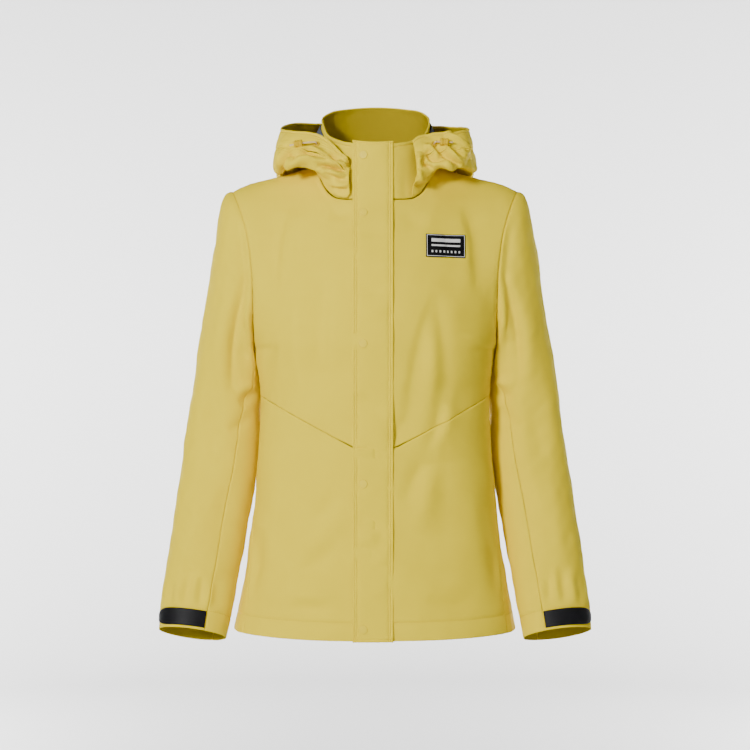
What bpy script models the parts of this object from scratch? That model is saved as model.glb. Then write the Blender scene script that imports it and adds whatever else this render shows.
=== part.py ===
"""A hooded shell jacket in the filled-out shape that it has when it is worn.

Metres, +Z up, front towards -Y, wearer's left towards +X. The origin lies between the two
side-neck points, where the wearer's shoulders carry the jacket.

Each cloth piece is a grid of points on its middle surface, given a wall by Solidify. The
surfaces come from tables of named sizes: slices of the body, rings of the sleeves, heights
round the neck and profiles round the hood.
"""
import math
from collections import namedtuple

import bmesh
import bpy
from mathutils import Matrix, Vector

# ---------------------------------------------------------------- driving sizes
WALL = 0.0014             # shell cloth with its coating and taped seams
SEAM_GAP = 0.0003         # between two pieces at a seam
LAYER = WALL + SEAM_GAP   # between the middle surfaces of two cloths that lie on each other
ARMHOLE_GAP = 0.0007      # from the body's armhole edge to the sleeve's first ring
UNDERARM_GAP = 0.0012     # and more of it where the two walls face each other
UNDERARM_SEAM_WIDENING = 8.8          # of the sleeve's seam gaps, where they turn sharply,
UNDERARM_SEAM_RINGS = 9.0             # fading out over so many rings

HEM_HEIGHT = -0.645
HEM_DIP = 0.0045                      # how much lower the hem hangs in front and behind
ARMPIT_HEIGHT = -0.250
SHOULDER_POINT = (0.200, -0.031)      # x and z where shoulder seam and armhole meet
ARMPIT_HALF_WIDTH = 0.168
ARMHOLE_HALF_DEPTH = 0.060
TORSO_SQUARENESS = 2.3                # exponent of the slices' outline, 2 is an ellipse

# body slices, from the hem up to the armpits; side_seam is in degrees from the centre front
Slice = namedtuple("Slice", "height half_width front_depth back_depth side_seam")
TORSO = [
    Slice(-0.645, 0.1990, 0.122, 0.120, 65.0),
    Slice(-0.600, 0.1905, 0.121, 0.117, 67.0),
    Slice(-0.540, 0.1798, 0.118, 0.112, 72.0),
    Slice(-0.482, 0.1713, 0.116, 0.108, 78.0),
    Slice(-0.417, 0.1650, 0.115, 0.104, 84.0),
    Slice(-0.320, 0.1607, 0.119, 0.103, 88.0),
    Slice(-0.250, 0.1680, 0.126, 0.110, 90.0),
]

# slanted seam of each front: level near the flap, then rising to the side
FRONT_SEAM_LOW = -0.3875
FRONT_SEAM_START = 0.030
FRONT_SEAM_RISE = 0.53                # rise for each metre outwards

# neckline and collar heights by azimuth, 0 at the front and 180 behind
Neck = namedtuple("Neck", "azimuth seam_height rim_height")
NECK = [
    Neck(0, -0.0480, 0.0262),
    Neck(30, -0.0475, 0.0305),
    Neck(46, -0.0395, 0.0365),
    Neck(62, -0.0215, 0.0455),
    Neck(75, -0.0070, 0.0585),
    Neck(90, 0.0040, 0.0698),
    Neck(110, 0.0105, 0.0800),
    Neck(132, 0.0140, 0.0886),
    Neck(180, 0.0155, 0.0954),
]
NECK_HALF_WIDTH = 0.082
NECK_FRONT = 0.088
NECK_BACK = 0.070
NECK_SQUARENESS = 2.6
RIM_HALF_WIDTH = 0.0755
RIM_FRONT = 0.088
RIM_BACK = 0.060
RIM_SQUARENESS = 2.3
COLLAR_LIFT = 0.0009                  # collar's lower edge above the neckline
COLLAR_INSET = 0.0027                 # and inside it, away from the flap
COLLAR_INSET_START = 18.0             # degrees from the front
COLLAR_INSET_RUN = 7.0

# shoulder seam, outwards from the neck
Shoulder = namedtuple("Shoulder", "out height")
SHOULDER = [
    Shoulder(0.082, 0.0040),
    Shoulder(0.137, -0.0107),
    Shoulder(0.176, -0.0203),
    Shoulder(0.200, -0.0310),
]
NECK_SHARE = 0.45                     # share of a half panel's columns that end at the neck
YOKE_ROUNDING = 2.0                   # how late the yoke turns over towards the shoulder seam
NECK_ROUNDING = 2.2                   # and towards the neckline
ARMHOLE_SPREAD = 3.0                  # how fast the armhole's fullness fades inwards
FRONT_HOLLOW = 0.013                  # how far the front armhole curves inwards
BACK_HOLLOW = 0.006

# sleeve rings from the armhole to the cuff: the outer and the inner line, the half depth,
# how much higher the front lies than the middle for each metre forwards, the share of the
# armhole's hollow, and the two seams in degrees (0 outside, 90 in front, 180 inside)
Ring = namedtuple("Ring", "place outer_x outer_y outer_z inner_x inner_y inner_z half_depth "
                          "lift hollow front_seam back_seam")
SLEEVE = [
    Ring(0, 0.2000, 0.000, -0.0310, 0.1680, 0.000, -0.2500, 0.0600, 0.00, 1.00, 152, 232),
    Ring(1, 0.2080, 0.000, -0.0335, 0.1702, 0.001, -0.2555, 0.0606, 0.00, 0.85, 150, 232),
    Ring(2, 0.2140, 0.001, -0.0430, 0.1696, 0.004, -0.2620, 0.0612, 0.00, 0.65, 147, 232),
    Ring(3, 0.2205, 0.003, -0.0680, 0.1686, 0.009, -0.2700, 0.0615, 0.00, 0.45, 144, 232),
    Ring(4, 0.2265, 0.005, -0.1050, 0.1672, 0.016, -0.2790, 0.0612, 0.00, 0.30, 143, 232),
    Ring(5, 0.2340, 0.008, -0.1550, 0.1654, 0.023, -0.2895, 0.0600, 0.00, 0.15, 142, 233),
    Ring(6, 0.2420, 0.012, -0.2050, 0.1630, 0.028, -0.3015, 0.0580, 0.00, 0.05, 140, 234),
    Ring(7, 0.2510, 0.017, -0.2600, 0.1613, 0.030, -0.3160, 0.0550, 0.00, 0.00, 134, 235),
    Ring(8, 0.2585, 0.022, -0.3150, 0.1614, 0.030, -0.3380, 0.0525, 0.04, 0.00, 123, 236),
    Ring(9, 0.2662, 0.023, -0.3640, 0.1625, 0.027, -0.3780, 0.0500, 0.10, 0.00, 117, 236),
    Ring(10, 0.2750, 0.015, -0.4250, 0.1690, 0.016, -0.4390, 0.0475, 0.16, 0.00, 115, 236),
    Ring(11, 0.2830, 0.002, -0.4850, 0.1797, 0.002, -0.5010, 0.0440, 0.22, 0.00, 114, 236),
    Ring(12, 0.2910, -0.014, -0.5470, 0.1902, -0.014, -0.5620, 0.0400, 0.27, 0.00, 114, 236),
    Ring(13, 0.2960, -0.026, -0.5880, 0.1975, -0.026, -0.6020, 0.0365, 0.31, 0.00, 114, 236),
    Ring(14, 0.2990, -0.034, -0.6150, 0.2025, -0.034, -0.6280, 0.0335, 0.34, 0.00, 114, 236),
    Ring(15, 0.2995, -0.042, -0.6425, 0.2075, -0.042, -0.6545, 0.0315, 0.35, 0.00, 114, 236),
]
SLEEVE_PLACES = [15, 14, 13, 12, 11, 10, 9.3, 8.6, 8.1, 7.6, 7, 6, 5, 4, 3, 2, 1, 0]
# soft folds of the sleeves: middle, half length and half width in rings and degrees, and depth
Fold = namedtuple("Fold", "place turn half_length half_width slant depth")
SLEEVE_FOLDS = [
    Fold(5.0, 118, 3.0, 16, 0.0, 0.0040),
    Fold(5.4, 238, 2.6, 16, 0.0, 0.0035),
    Fold(8.1, 172, 0.9, 34, 0.0, 0.0035),
]

# hood profiles by azimuth: from the neck seam over inner and belly, where the cloth turns
# up, to wall, band (the brim's seam) and rim; each is a radius and a height
Profile = namedtuple("Profile", "azimuth inner_r inner_z belly_r belly_z wall_r wall_z "
                                "band_r band_z rim_r rim_z")
HOOD = [
    Profile(16, 0.0920, -0.041, 0.0932, -0.034, 0.0935, -0.027, 0.0933, -0.020, 0.0925, -0.012),
    Profile(28, 0.0990, -0.036, 0.1060, -0.022, 0.1070, -0.009, 0.1045, 0.001, 0.0990, 0.016),
    Profile(45, 0.1060, -0.011, 0.1220, -0.005, 0.1245, 0.008, 0.1190, 0.020, 0.1060, 0.041),
    Profile(60, 0.1100, 0.007, 0.1400, -0.002, 0.1455, 0.011, 0.1410, 0.027, 0.1270, 0.0475),
    Profile(75, 0.1130, 0.008, 0.1395, -0.005, 0.1415, 0.011, 0.1410, 0.030, 0.1335, 0.053),
    Profile(90, 0.1100, 0.008, 0.1345, -0.0055, 0.1385, 0.012, 0.1375, 0.032, 0.1290, 0.060),
    Profile(112, 0.1080, 0.002, 0.1400, -0.029, 0.1490, -0.003, 0.1430, 0.038, 0.1270, 0.066),
    Profile(135, 0.1100, -0.022, 0.1450, -0.088, 0.1660, -0.038, 0.1470, 0.044, 0.1190, 0.072),
    Profile(158, 0.1090, -0.050, 0.1430, -0.136, 0.1760, -0.072, 0.1480, 0.049, 0.1130, 0.0765),
    Profile(180, 0.1060, -0.058, 0.1390, -0.152, 0.1780, -0.082, 0.1480, 0.050, 0.1110, 0.078),
]
Spot = namedtuple("Spot", "stop radius height")
BAND_STOP = 3.72                      # brim seam; base is 0, inner 1, belly 2, wall 3, rim 5
RIM_STOP = 5
BAND_SEAM = 0.011                     # half the brim seam's gap, in stops
HOOD_BACK_LEAN = 0.2
HOOD_BASE_LAYERS = 2.5
HOOD_STARTS = {1: 31.0, -1: 21.0}     # azimuth of the hood's front edge
HOOD_CENTRE_SEAM = 152.0              # azimuth of the seam between side and centre panel
HOOD_SEAM_GAP = 0.20                  # degrees there
# ridges and troughs of the crumpled hood, by azimuth (-180 to 180) and profile stop
HOOD_FOLDS = [
    Fold(2.9, -72, 1.3, 10, 9.0, -0.0040),
    Fold(2.6, -48, 1.2, 9, -7.0, -0.0040),
    Fold(2.4, -100, 1.4, 12, 6.0, 0.0045),
    Fold(3.0, 66, 1.6, 9, 12.0, 0.0050),
    Fold(2.6, 84, 1.4, 10, 8.0, -0.0050),
    Fold(2.4, 46, 1.2, 9, -6.0, -0.0045),
    Fold(2.5, 122, 1.6, 14, -8.0, -0.0060),
    Fold(2.6, -128, 1.6, 14, 8.0, -0.0060),
    Fold(2.7, 168, 1.6, 13, 5.0, -0.0060),
    Fold(2.3, -160, 1.4, 12, -6.0, -0.0050),
]

# where the rim stands higher: behind the wearer's right shoulder and at the left front
RIM_LIFTS = [
    Fold(5.0, -118, 1.8, 30, 0.0, 0.0055),
    Fold(5.0, 33, 2.6, 11, 0.0, 0.0105),
]

# grey-blue tape that stands out from the collar inside the hood
TAPE_START = 54.0
TAPE_BELOW_RIM = 0.008
TAPE_HEIGHT = 0.030
TAPE_FLARE = 0.011
TAPE_LAYERS = 1.15                    # between the collar and the tape's upper edge

# storm flap over the front closure: x of its free and its sewn edge, and its ends
FLAP_EDGES = (-0.0300, 0.0245)
FLAP_LINES = (SEAM_GAP / 2, FLAP_EDGES[1], -FLAP_EDGES[0])   # the fronts' columns under it
FLAP_BOTTOM = HEM_HEIGHT - HEM_DIP - 0.001
FLAP_TOP_ABOVE_COLLAR = 0.004
FLAP_LAYERS = 1.1                     # between the fronts and the flap
SNAP_X = -0.0163
SNAP_HEIGHTS = (0.0125, -0.0668, -0.2463, -0.4367, -0.6335)
SNAP_RADIUS = 0.0062
SNAP_THICKNESS = 0.0012

# cuff tabs: rings along the sleeve, and the width's share at each of the upper sleeve's
# columns from the front seam to the tab's rounded end
TAB_RINGS = (14.88, 14.06)
TAB_THICKNESS = 0.0020
TAB_CLEARANCE = SEAM_GAP * 2          # a turned sleeve's facets rise between its points
Station = namedtuple("Station", "column width")
TAB_OUTLINE = [
    Station(0.12, 1.00), Station(1, 1.00), Station(2, 1.00), Station(3, 1.00), Station(4, 1.00),
    Station(5, 1.00), Station(6, 1.00), Station(6.7, 0.97), Station(7, 0.88), Station(7.3, 0.66),
    Station(7.42, 0.40),
]

# chest patch on the wearer's left: corners as seen from the front, x and z
PATCH_X = (0.0695, 0.1205)
PATCH_Z = (-0.1285, -0.0990)
PATCH_SKEW = 0.0012                   # the right corners lie a little lower
PATCH_THICKNESS = 0.0008
PATCH_CLEARANCE = SEAM_GAP * 2.5

# hood draw cords: where their eyelets and locks sit, by azimuth and height, on each side
CordPlace = namedtuple("CordPlace", "eyelet_azimuth eyelet_height lock_azimuth lock_height")
CORD_PLACES = {
    1: CordPlace(44.5, 0.0275, 49.5, 0.0270),
    -1: CordPlace(44.5, 0.0275, 52.5, 0.0245),
}
EYELET_RADIUS = 0.0030
EYELET_WIRE = 0.0009
CORD_DIAMETER = 0.0024
CORD_TAIL = 0.0062                    # beyond the lock
RoutePoint = namedtuple("RoutePoint", "at x y z")
LOCK_RADIUS = 0.0052
LOCK_LENGTH = 0.0120
LOCK_BORE = CORD_DIAMETER / 2 + 0.0004
LOCK_STANDOFF = 0.0016                # from the brim's outer face to the lock

# grid steps
FRONT_STEPS = 9                       # columns from the flap's edge to the side
LOWER_ROWS = 6
UPPER_ROWS = 3
YOKE_ROWS = 12
SLEEVE_UPPER_STEPS = 18
SLEEVE_UNDER_STEPS = 8
COLLAR_STEPS = 42
COLLAR_ROWS = 4
HOOD_STEP = 6.5                       # degrees
HOOD_ROWS_A_STOP = 2

SHELL_YELLOW = (0.845, 0.700, 0.240)
TAPE_GREY = (0.150, 0.170, 0.230)
TAB_BLACK = (0.012, 0.012, 0.014)
PATCH_BLACK = (0.016, 0.016, 0.018)
CORD_ORANGE = (0.830, 0.500, 0.090)


# ---------------------------------------------------------------- reading the tables
def read(table, at, column):
    """A column's value at a place in a table, on a smooth curve through the rows."""
    places = [row[0] for row in table]
    values = [getattr(row, column) for row in table]
    at = min(max(at, places[0]), places[-1])
    last = len(places) - 1
    low = 0
    while low < last - 1 and at > places[low + 1]:
        low += 1

    def slope(index):
        before = max(index - 1, 0)
        after = min(index + 1, last)
        return (values[after] - values[before]) / (places[after] - places[before])

    span = places[low + 1] - places[low]
    t = (at - places[low]) / span
    start = values[low] * (1 + 2 * t) * (1 - t) ** 2
    end = values[low + 1] * t * t * (3 - 2 * t)
    bend = slope(low) * t * (1 - t) ** 2 - slope(low + 1) * t * t * (1 - t)
    return start + end + bend * span


def superellipse(degrees, squareness):
    """Sideways and forward share of an outline at an angle from the front."""
    turn = math.radians(degrees)
    power = 2.0 / squareness
    sideways = math.copysign(abs(math.sin(turn)) ** power, math.sin(turn))
    forward = math.copysign(abs(math.cos(turn)) ** power, math.cos(turn))
    return sideways, forward


def fold_weight(fold, place, turn):
    """Share of a fold's depth at a place, 1 on its line and 0 away from it."""
    along = (place - fold.place) / fold.half_length
    off = turn - fold.turn - fold.slant * (place - fold.place)
    off = ((off + 180) % 360 - 180) / fold.half_width
    if abs(along) >= 1 or abs(off) >= 2.5:
        return 0.0
    return math.cos(along * math.pi / 2) ** 2 * math.exp(-off * off * 1.4)


# ---------------------------------------------------------------- surfaces
def torso_point(angle, height):
    """Body below the armpits; angle in degrees, 0 in front, 90 at the wearer's left."""
    sideways, forward = superellipse(angle, TORSO_SQUARENESS)
    column = "front_depth" if forward > 0 else "back_depth"
    half_width = read(TORSO, height, "half_width")
    return Vector((half_width * sideways, -read(TORSO, height, column) * forward, height))


def torso_angle(out, height):
    """Angle at which the front of the body is as far out as asked."""
    share = out / read(TORSO, height, "half_width")
    return math.degrees(math.asin(share ** (TORSO_SQUARENESS / 2)))


def neck_point(azimuth, rise=0.0):
    """Neckline at rise 0, collar rim at rise 1."""
    folded = abs((azimuth + 180) % 360 - 180)
    squareness = NECK_SQUARENESS + (RIM_SQUARENESS - NECK_SQUARENESS) * rise
    sideways, forward = superellipse(azimuth, squareness)
    half_width = NECK_HALF_WIDTH + (RIM_HALF_WIDTH - NECK_HALF_WIDTH) * rise
    if forward > 0:
        depth = NECK_FRONT + (RIM_FRONT - NECK_FRONT) * rise
    else:
        depth = NECK_BACK + (RIM_BACK - NECK_BACK) * rise
    seam = read(NECK, folded, "seam_height")
    rim = read(NECK, folded, "rim_height")
    return Vector((half_width * sideways, -depth * forward, seam + (rim - seam) * rise))


def top_edge(face, across):
    """Upper edge of a half panel, face -1 in front and 1 behind: neckline, then shoulder."""
    if across <= NECK_SHARE:
        azimuth = 90 * across / NECK_SHARE
        return neck_point(azimuth if face < 0 else 180 - azimuth)
    share = (across - NECK_SHARE) / (1 - NECK_SHARE)
    out = NECK_HALF_WIDTH + (SHOULDER_POINT[0] - NECK_HALF_WIDTH) * share
    return Vector((out, 0.0, read(SHOULDER, out, "height")))


def yoke_point(face, across, rise):
    """Half panel above the armpits on the wearer's left, rise 0 at the armpit, 1 on top."""
    angle = 90 * across if face < 0 else 180 - 90 * across
    low = torso_point(angle, ARMPIT_HEIGHT)
    top = top_edge(face, across)
    to_shoulder = min(across / NECK_SHARE, 1.0) ** 2
    neck_keep = 1 - rise ** NECK_ROUNDING
    shoulder_keep = (1 - rise ** YOKE_ROUNDING) ** (1 / YOKE_ROUNDING)
    keep = neck_keep + (shoulder_keep - neck_keep) * to_shoulder
    at_armhole = across ** ARMHOLE_SPREAD
    loop = math.sqrt(max(rise * (1 - rise), 0.0))
    hollow = FRONT_HOLLOW if face < 0 else BACK_HOLLOW
    out = low.x + (top.x - low.x) * rise - hollow * 4 * loop ** 2 * (0.5 + rise) * at_armhole
    depth = abs(low.y) * keep + abs(top.y) * (1 - keep)
    depth += ARMHOLE_HALF_DEPTH * 2 * loop * at_armhole + SEAM_GAP * 0.75
    return Vector((out, face * depth, ARMPIT_HEIGHT + (top.z - ARMPIT_HEIGHT) * rise))


def yoke_across(out, rise):
    """Column share at which the front yoke is as far out as asked."""
    low, high = 0.0, 0.6
    for _ in range(30):
        middle = (low + high) / 2
        if yoke_point(-1, middle, rise).x < out:
            low = middle
        else:
            high = middle
    return low


def sleeve_point(turn, place):
    """Left sleeve; turn 0 outside, 90 in front, 180 inside, 270 behind."""
    row = {name: read(SLEEVE, place, name) for name in Ring._fields[1:]}
    outer = Vector((row["outer_x"], row["outer_y"], row["outer_z"]))
    inner = Vector((row["inner_x"], row["inner_y"], row["inner_z"]))
    forward, outward = math.sin(math.radians(turn)), math.cos(math.radians(turn))
    rise = (1 + outward) / 2
    depth = row["half_depth"]
    sink = sum(fold.depth * fold_weight(fold, place, turn) for fold in SLEEVE_FOLDS)
    scale = 1 - sink / depth
    point = (outer + inner) / 2 + (outer - inner) / 2 * outward * scale
    point += Vector((0, -1, row["lift"])) * depth * forward * scale
    hollow = FRONT_HOLLOW if forward > 0 else BACK_HOLLOW
    point.x -= hollow * row["hollow"] * 4 * rise * (1 - rise) * (0.5 + rise)
    near_armhole = max(0.0, 1 - place)
    point.x += (ARMHOLE_GAP + UNDERARM_GAP * (1 - rise) ** 3) * near_armhole
    return point


def collar_point(azimuth, rise):
    """Collar wall, a little above and inside the neckline."""
    point = neck_point(azimuth, rise)
    outward = Vector((point.x, point.y, 0)).normalized()
    folded = abs((azimuth + 180) % 360 - 180)
    inset = COLLAR_INSET * min(1.0, max(0.0, folded - COLLAR_INSET_START) / COLLAR_INSET_RUN) * (1 - rise)
    return point - outward * inset + Vector((0, 0, COLLAR_LIFT * (1 - rise)))


def hood_base(folded):
    """Where the hood is sewn on, one layer off the body at the neckline."""
    base = neck_point(folded)
    if folded < 90:
        lean = math.sin(math.radians(folded))
    else:
        lean = 1 - HOOD_BACK_LEAN * (folded - 90) / 90
    outward = Vector((base.x, base.y, 0)).normalized() * (1 - lean) + Vector((0, 0, lean))
    return base + outward.normalized() * LAYER * HOOD_BASE_LAYERS


def hood_point(azimuth, stop):
    """Hood cloth; azimuth as round the neck, stop 0 at the neck seam to 5 at the rim."""
    azimuth = (azimuth + 180) % 360 - 180
    folded = abs(azimuth)
    base = hood_base(folded)
    spots = [Spot(0, math.hypot(base.x, base.y), base.z)]
    for index, name in enumerate(("inner", "belly", "wall", "band", "rim")):
        radius = read(HOOD, folded, name + "_r")
        spots.append(Spot(index + 1, radius, read(HOOD, folded, name + "_z")))
    taper = min(1.0, stop / 1.5) * min(1.0, (5.4 - stop) / 1.4)
    sink = sum(fold.depth * fold_weight(fold, stop, azimuth) for fold in HOOD_FOLDS) * taper
    radius = read(spots, stop, "radius") - sink
    base_azimuth = math.degrees(math.atan2(base.x, -base.y))
    around = math.radians(folded + (base_azimuth - folded) * max(0.0, 1 - stop))
    out = math.copysign(radius * math.sin(around), azimuth)
    lift = sum(fold.depth * fold_weight(fold, stop, azimuth) for fold in RIM_LIFTS)
    height = read(spots, stop, "height") + lift
    return Vector((out, -radius * math.cos(around), height))


def tape_point(azimuth, down):
    """Neck tape, from just under the collar's rim out and down into the hood."""
    folded = abs((azimuth + 180) % 360 - 180)
    seam = read(NECK, folded, "seam_height")
    rim = read(NECK, folded, "rim_height")
    rise = 1 - (TAPE_BELOW_RIM + TAPE_HEIGHT * down) / (rim - seam)
    point = neck_point(azimuth, rise)
    outward = Vector((point.x, point.y, 0)).normalized()
    return point + outward * (LAYER * TAPE_LAYERS + TAPE_FLARE * down)


# ---------------------------------------------------------------- grids of points
def spread(start, end, count):
    """Evenly spaced values, both ends included."""
    return [start + (end - start) * index / count for index in range(count + 1)]


def mirrored(grid, side):
    """The grid as it is for the wearer's left, or its mirror image for the right."""
    if side > 0:
        return grid
    return [[Vector((-point.x, point.y, point.z)) for point in reversed(row)] for row in grid]


def hem_height(angle):
    return HEM_HEIGHT - HEM_DIP * math.cos(math.radians(angle)) ** 2


def seam_height(out):
    return FRONT_SEAM_LOW + FRONT_SEAM_RISE * max(0.0, out - FRONT_SEAM_START)


def front_columns(height):
    """Angles of a front panel's columns at a height: the flap's lines, then the side."""
    fixed = [torso_angle(out, height) for out in FLAP_LINES]
    edge = read(TORSO, height, "side_seam") - math.degrees(SEAM_GAP / 2 / ARMPIT_HALF_WIDTH)
    return fixed + spread(fixed[-1], edge, FRONT_STEPS)[1:]


def slanted_row(share, low_side):
    """Front row between the hem (or the armpit) and the slanted seam."""
    row = []
    for column in range(len(FLAP_LINES) + FRONT_STEPS):
        height = FRONT_SEAM_LOW
        hem = hem_height(front_columns(HEM_HEIGHT)[column])
        for _ in range(4):
            out = torso_point(front_columns(height)[column], height).x
            seam = seam_height(out)
            if low_side:
                height = hem + (seam - SEAM_GAP / 2 - hem) * share
            else:
                height = seam + SEAM_GAP / 2 + (ARMPIT_HEIGHT - seam - SEAM_GAP / 2) * share
        row.append(torso_point(front_columns(height)[column], height))
    return row


def yoke_rises():
    return [(1 - math.cos(math.pi * share)) / 2 for share in spread(0, 1, YOKE_ROWS)]


def front_yoke_row(rise):
    fixed = [yoke_across(out, rise) for out in FLAP_LINES]
    return [yoke_point(-1, across, rise) for across in fixed + spread(fixed[-1], 1, FRONT_STEPS)[1:]]


def front_lower():
    return [slanted_row(share, True) for share in spread(0, 1, LOWER_ROWS)]


def front_upper():
    rows = [slanted_row(share, False) for share in spread(0, 1, UPPER_ROWS)]
    return rows + [front_yoke_row(rise) for rise in yoke_rises()[1:]]


def back_grid():
    """Back, its rows at the heights that the front's have at the side seam."""
    rows = []
    steps = FRONT_STEPS + 1
    side_heights = [row[-1].z for row in front_lower() + front_upper()[1:UPPER_ROWS + 1]]
    for height in side_heights:
        edge = read(TORSO, height, "side_seam") + math.degrees(SEAM_GAP / 2 / ARMPIT_HALF_WIDTH)
        rows.append([torso_point(angle, height) for angle in spread(edge, 360 - edge, 2 * steps)])
    for index, angle in enumerate(spread(0, 180, 2 * steps)):
        rows[0][index].z -= HEM_DIP * math.sin(math.radians(angle)) ** 2
    for rise in yoke_rises()[1:]:
        half = [yoke_point(1, across, rise) for across in spread(1, 0, steps)]
        other = [Vector((-point.x, point.y, point.z)) for point in reversed(half[:-1])]
        rows.append(half + other)
    return rows


def sleeve_grid(high_turn, low_turn, steps):
    """Sleeve panel, cuff first; its columns run from the high to the low turn."""
    rows = []
    for place in SLEEVE_PLACES:
        widening = 1 + UNDERARM_SEAM_WIDENING * max(0.0, 1 - place / UNDERARM_SEAM_RINGS)
        gap = math.degrees(SEAM_GAP / 2 * widening / read(SLEEVE, place, "half_depth"))
        first = high_turn(place) - gap
        last = low_turn(place) + gap
        rows.append([sleeve_point(turn % 360, place) for turn in spread(first, last, steps)])
    return rows


def front_seam(place):
    return read(SLEEVE, place, "front_seam")


def back_seam(place):
    return read(SLEEVE, place, "back_seam")


def collar_grid():
    rows = []
    for rise in spread(0, 1, COLLAR_ROWS):
        left = [collar_azimuth(out, rise) for out in (0.0,) + FLAP_LINES[1:]]
        azimuths = left + spread(left[-1], 360 - left[-1], COLLAR_STEPS)[1:]
        azimuths += [360 - azimuth for azimuth in left[-2:0:-1]]
        rows.append([collar_point(azimuth, rise) for azimuth in azimuths])
    return rows


def hood_grid(start, end, first_stop, last_stop):
    steps = max(2, round(abs(end - start) / HOOD_STEP))
    rows = round((last_stop - first_stop) * HOOD_ROWS_A_STOP)
    return [[hood_point(azimuth, stop) for azimuth in spread(start, end, steps)]
            for stop in spread(first_stop, last_stop, rows)]


def tape_grid():
    steps = round((360 - 2 * TAPE_START) / HOOD_STEP)
    return [[tape_point(azimuth, down) for azimuth in spread(TAPE_START, 360 - TAPE_START, steps)]
            for down in spread(1, 0, 2)]


def flap_grid(fronts):
    """Flap rows: the fronts' own points moved out, then the collar's."""
    rows = []
    for level in ("lower", "upper"):
        for left, right in zip(fronts[level, 1], fronts[level, -1]):
            rows.append([right[-3], right[-2], (right[-1] + left[0]) / 2, left[1]])
    del rows[LOWER_ROWS + 1]
    lines = (FLAP_EDGES[0], -FLAP_EDGES[1], 0.0, FLAP_EDGES[1])
    for rise in spread(0, 1, COLLAR_ROWS)[1:]:
        rows.append([collar_point(collar_azimuth(out, rise), rise) for out in lines])
    rows.append([point + Vector((0, 0, FLAP_TOP_ABOVE_COLLAR)) for point in rows[-1]])
    rows[0] = [Vector((point.x, point.y, FLAP_BOTTOM)) for point in rows[0]]
    return lifted(rows, LAYER * FLAP_LAYERS)


def collar_azimuth(out, rise):
    """Azimuth at which the collar's front is as far out as asked."""
    low, high = -60.0, 60.0
    for _ in range(30):
        middle = (low + high) / 2
        if collar_point(middle, rise).x < out:
            low = middle
        else:
            high = middle
    return low


# ---------------------------------------------------------------- places on a grid
def grid_normal(grid, row, column):
    """Outward direction at a grid point, columns running to +X seen from outside."""
    up = grid[min(row + 1, len(grid) - 1)][column] - grid[max(row - 1, 0)][column]
    line = grid[row]
    along = line[min(column + 1, len(line) - 1)] - line[max(column - 1, 0)]
    return along.cross(up).normalized()


def lifted(grid, distance):
    return [[point + grid_normal(grid, r, c) * distance for c, point in enumerate(row)]
            for r, row in enumerate(grid)]


def on_grid(grid, row, column, distance):
    """Point on the facets between four grid points, moved out."""
    r = min(int(row), len(grid) - 2)
    c = min(int(column), len(grid[0]) - 2)
    v, u = row - r, column - c
    corners = [(r, c, (1 - u) * (1 - v)), (r, c + 1, u * (1 - v)),
               (r + 1, c, (1 - u) * v), (r + 1, c + 1, u * v)]
    point = Vector((0, 0, 0))
    normal = Vector((0, 0, 0))
    for i, j, share in corners:
        point += grid[i][j] * share
        normal += grid_normal(grid, i, j) * share
    return point + normal.normalized() * distance


def find_on_grid(grid, out, height):
    """Fractional row and column of a grid at an x and z, as seen from the front."""
    row, column = (len(grid) - 1) / 2, (len(grid[0]) - 1) / 2
    step = 0.05
    for _ in range(60):
        here = on_grid(grid, row, column, 0)
        by_row = (on_grid(grid, row + step, column, 0) - here) / step
        by_column = (on_grid(grid, row, column + step, 0) - here) / step
        area = by_row.x * by_column.z - by_row.z * by_column.x
        dx, dz = out - here.x, height - here.z
        row += (dx * by_column.z - dz * by_column.x) / area * 0.6
        column += (by_row.x * dz - by_row.z * dx) / area * 0.6
        row = min(max(row, 0.0), len(grid) - 1.06)
        column = min(max(column, 0.0), len(grid[0]) - 1.06)
    return row, column


# ---------------------------------------------------------------- making objects
def material(name, colour, roughness):
    made = bpy.data.materials.new(name)
    made.use_nodes = True
    shader = made.node_tree.nodes["Principled BSDF"]
    shader.inputs["Base Color"].default_value = (*colour, 1)
    shader.inputs["Roughness"].default_value = roughness
    shader.inputs["Metallic"].default_value = 0.0
    return made


def add_object(name, mesh, finish, parts):
    mesh.materials.append(finish)
    made = bpy.data.objects.new(name, mesh)
    parts.objects.link(made)
    return made


def sheet(name, grid, finish, parts, wall=WALL, closed=False):
    """A grid of middle points as a cloth wall."""
    mesh = bpy.data.meshes.new(name)
    shape = bmesh.new()
    vertices = [[shape.verts.new(point) for point in row] for row in grid]
    columns = len(grid[0])
    for low, high in zip(vertices, vertices[1:]):
        for column in range(columns if closed else columns - 1):
            after = (column + 1) % columns
            shape.faces.new((low[column], low[after], high[after], high[column]))
    shape.to_mesh(mesh)
    shape.free()
    mesh.shade_smooth()
    made = add_object(name, mesh, finish, parts)
    solid = made.modifiers.new("wall", "SOLIDIFY")
    solid.thickness = wall
    solid.offset = 0.0
    return made


def turned(name, profile, steps, finish, parts):
    """A profile of radius and height, top to bottom on its outer side, turned about Z."""
    mesh = bpy.data.meshes.new(name)
    shape = bmesh.new()
    vertices = [shape.verts.new((radius, 0, height)) for radius, height in profile]
    for first, second in zip(vertices, vertices[1:] + vertices[:1]):
        shape.edges.new((first, second))
    shape.to_mesh(mesh)
    shape.free()
    made = add_object(name, mesh, finish, parts)
    screw = made.modifiers.new("turn", "SCREW")
    screw.steps = steps
    screw.render_steps = steps
    screw.use_merge_vertices = True
    screw.merge_threshold = 0.00001
    return made


def set_along(made, place, direction):
    """Stand a turned object at a place with its axis along a direction."""
    turn = Vector((0, 0, 1)).rotation_difference(direction).to_matrix().to_4x4()
    made.matrix_world = Matrix.Translation(place) @ turn


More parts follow.
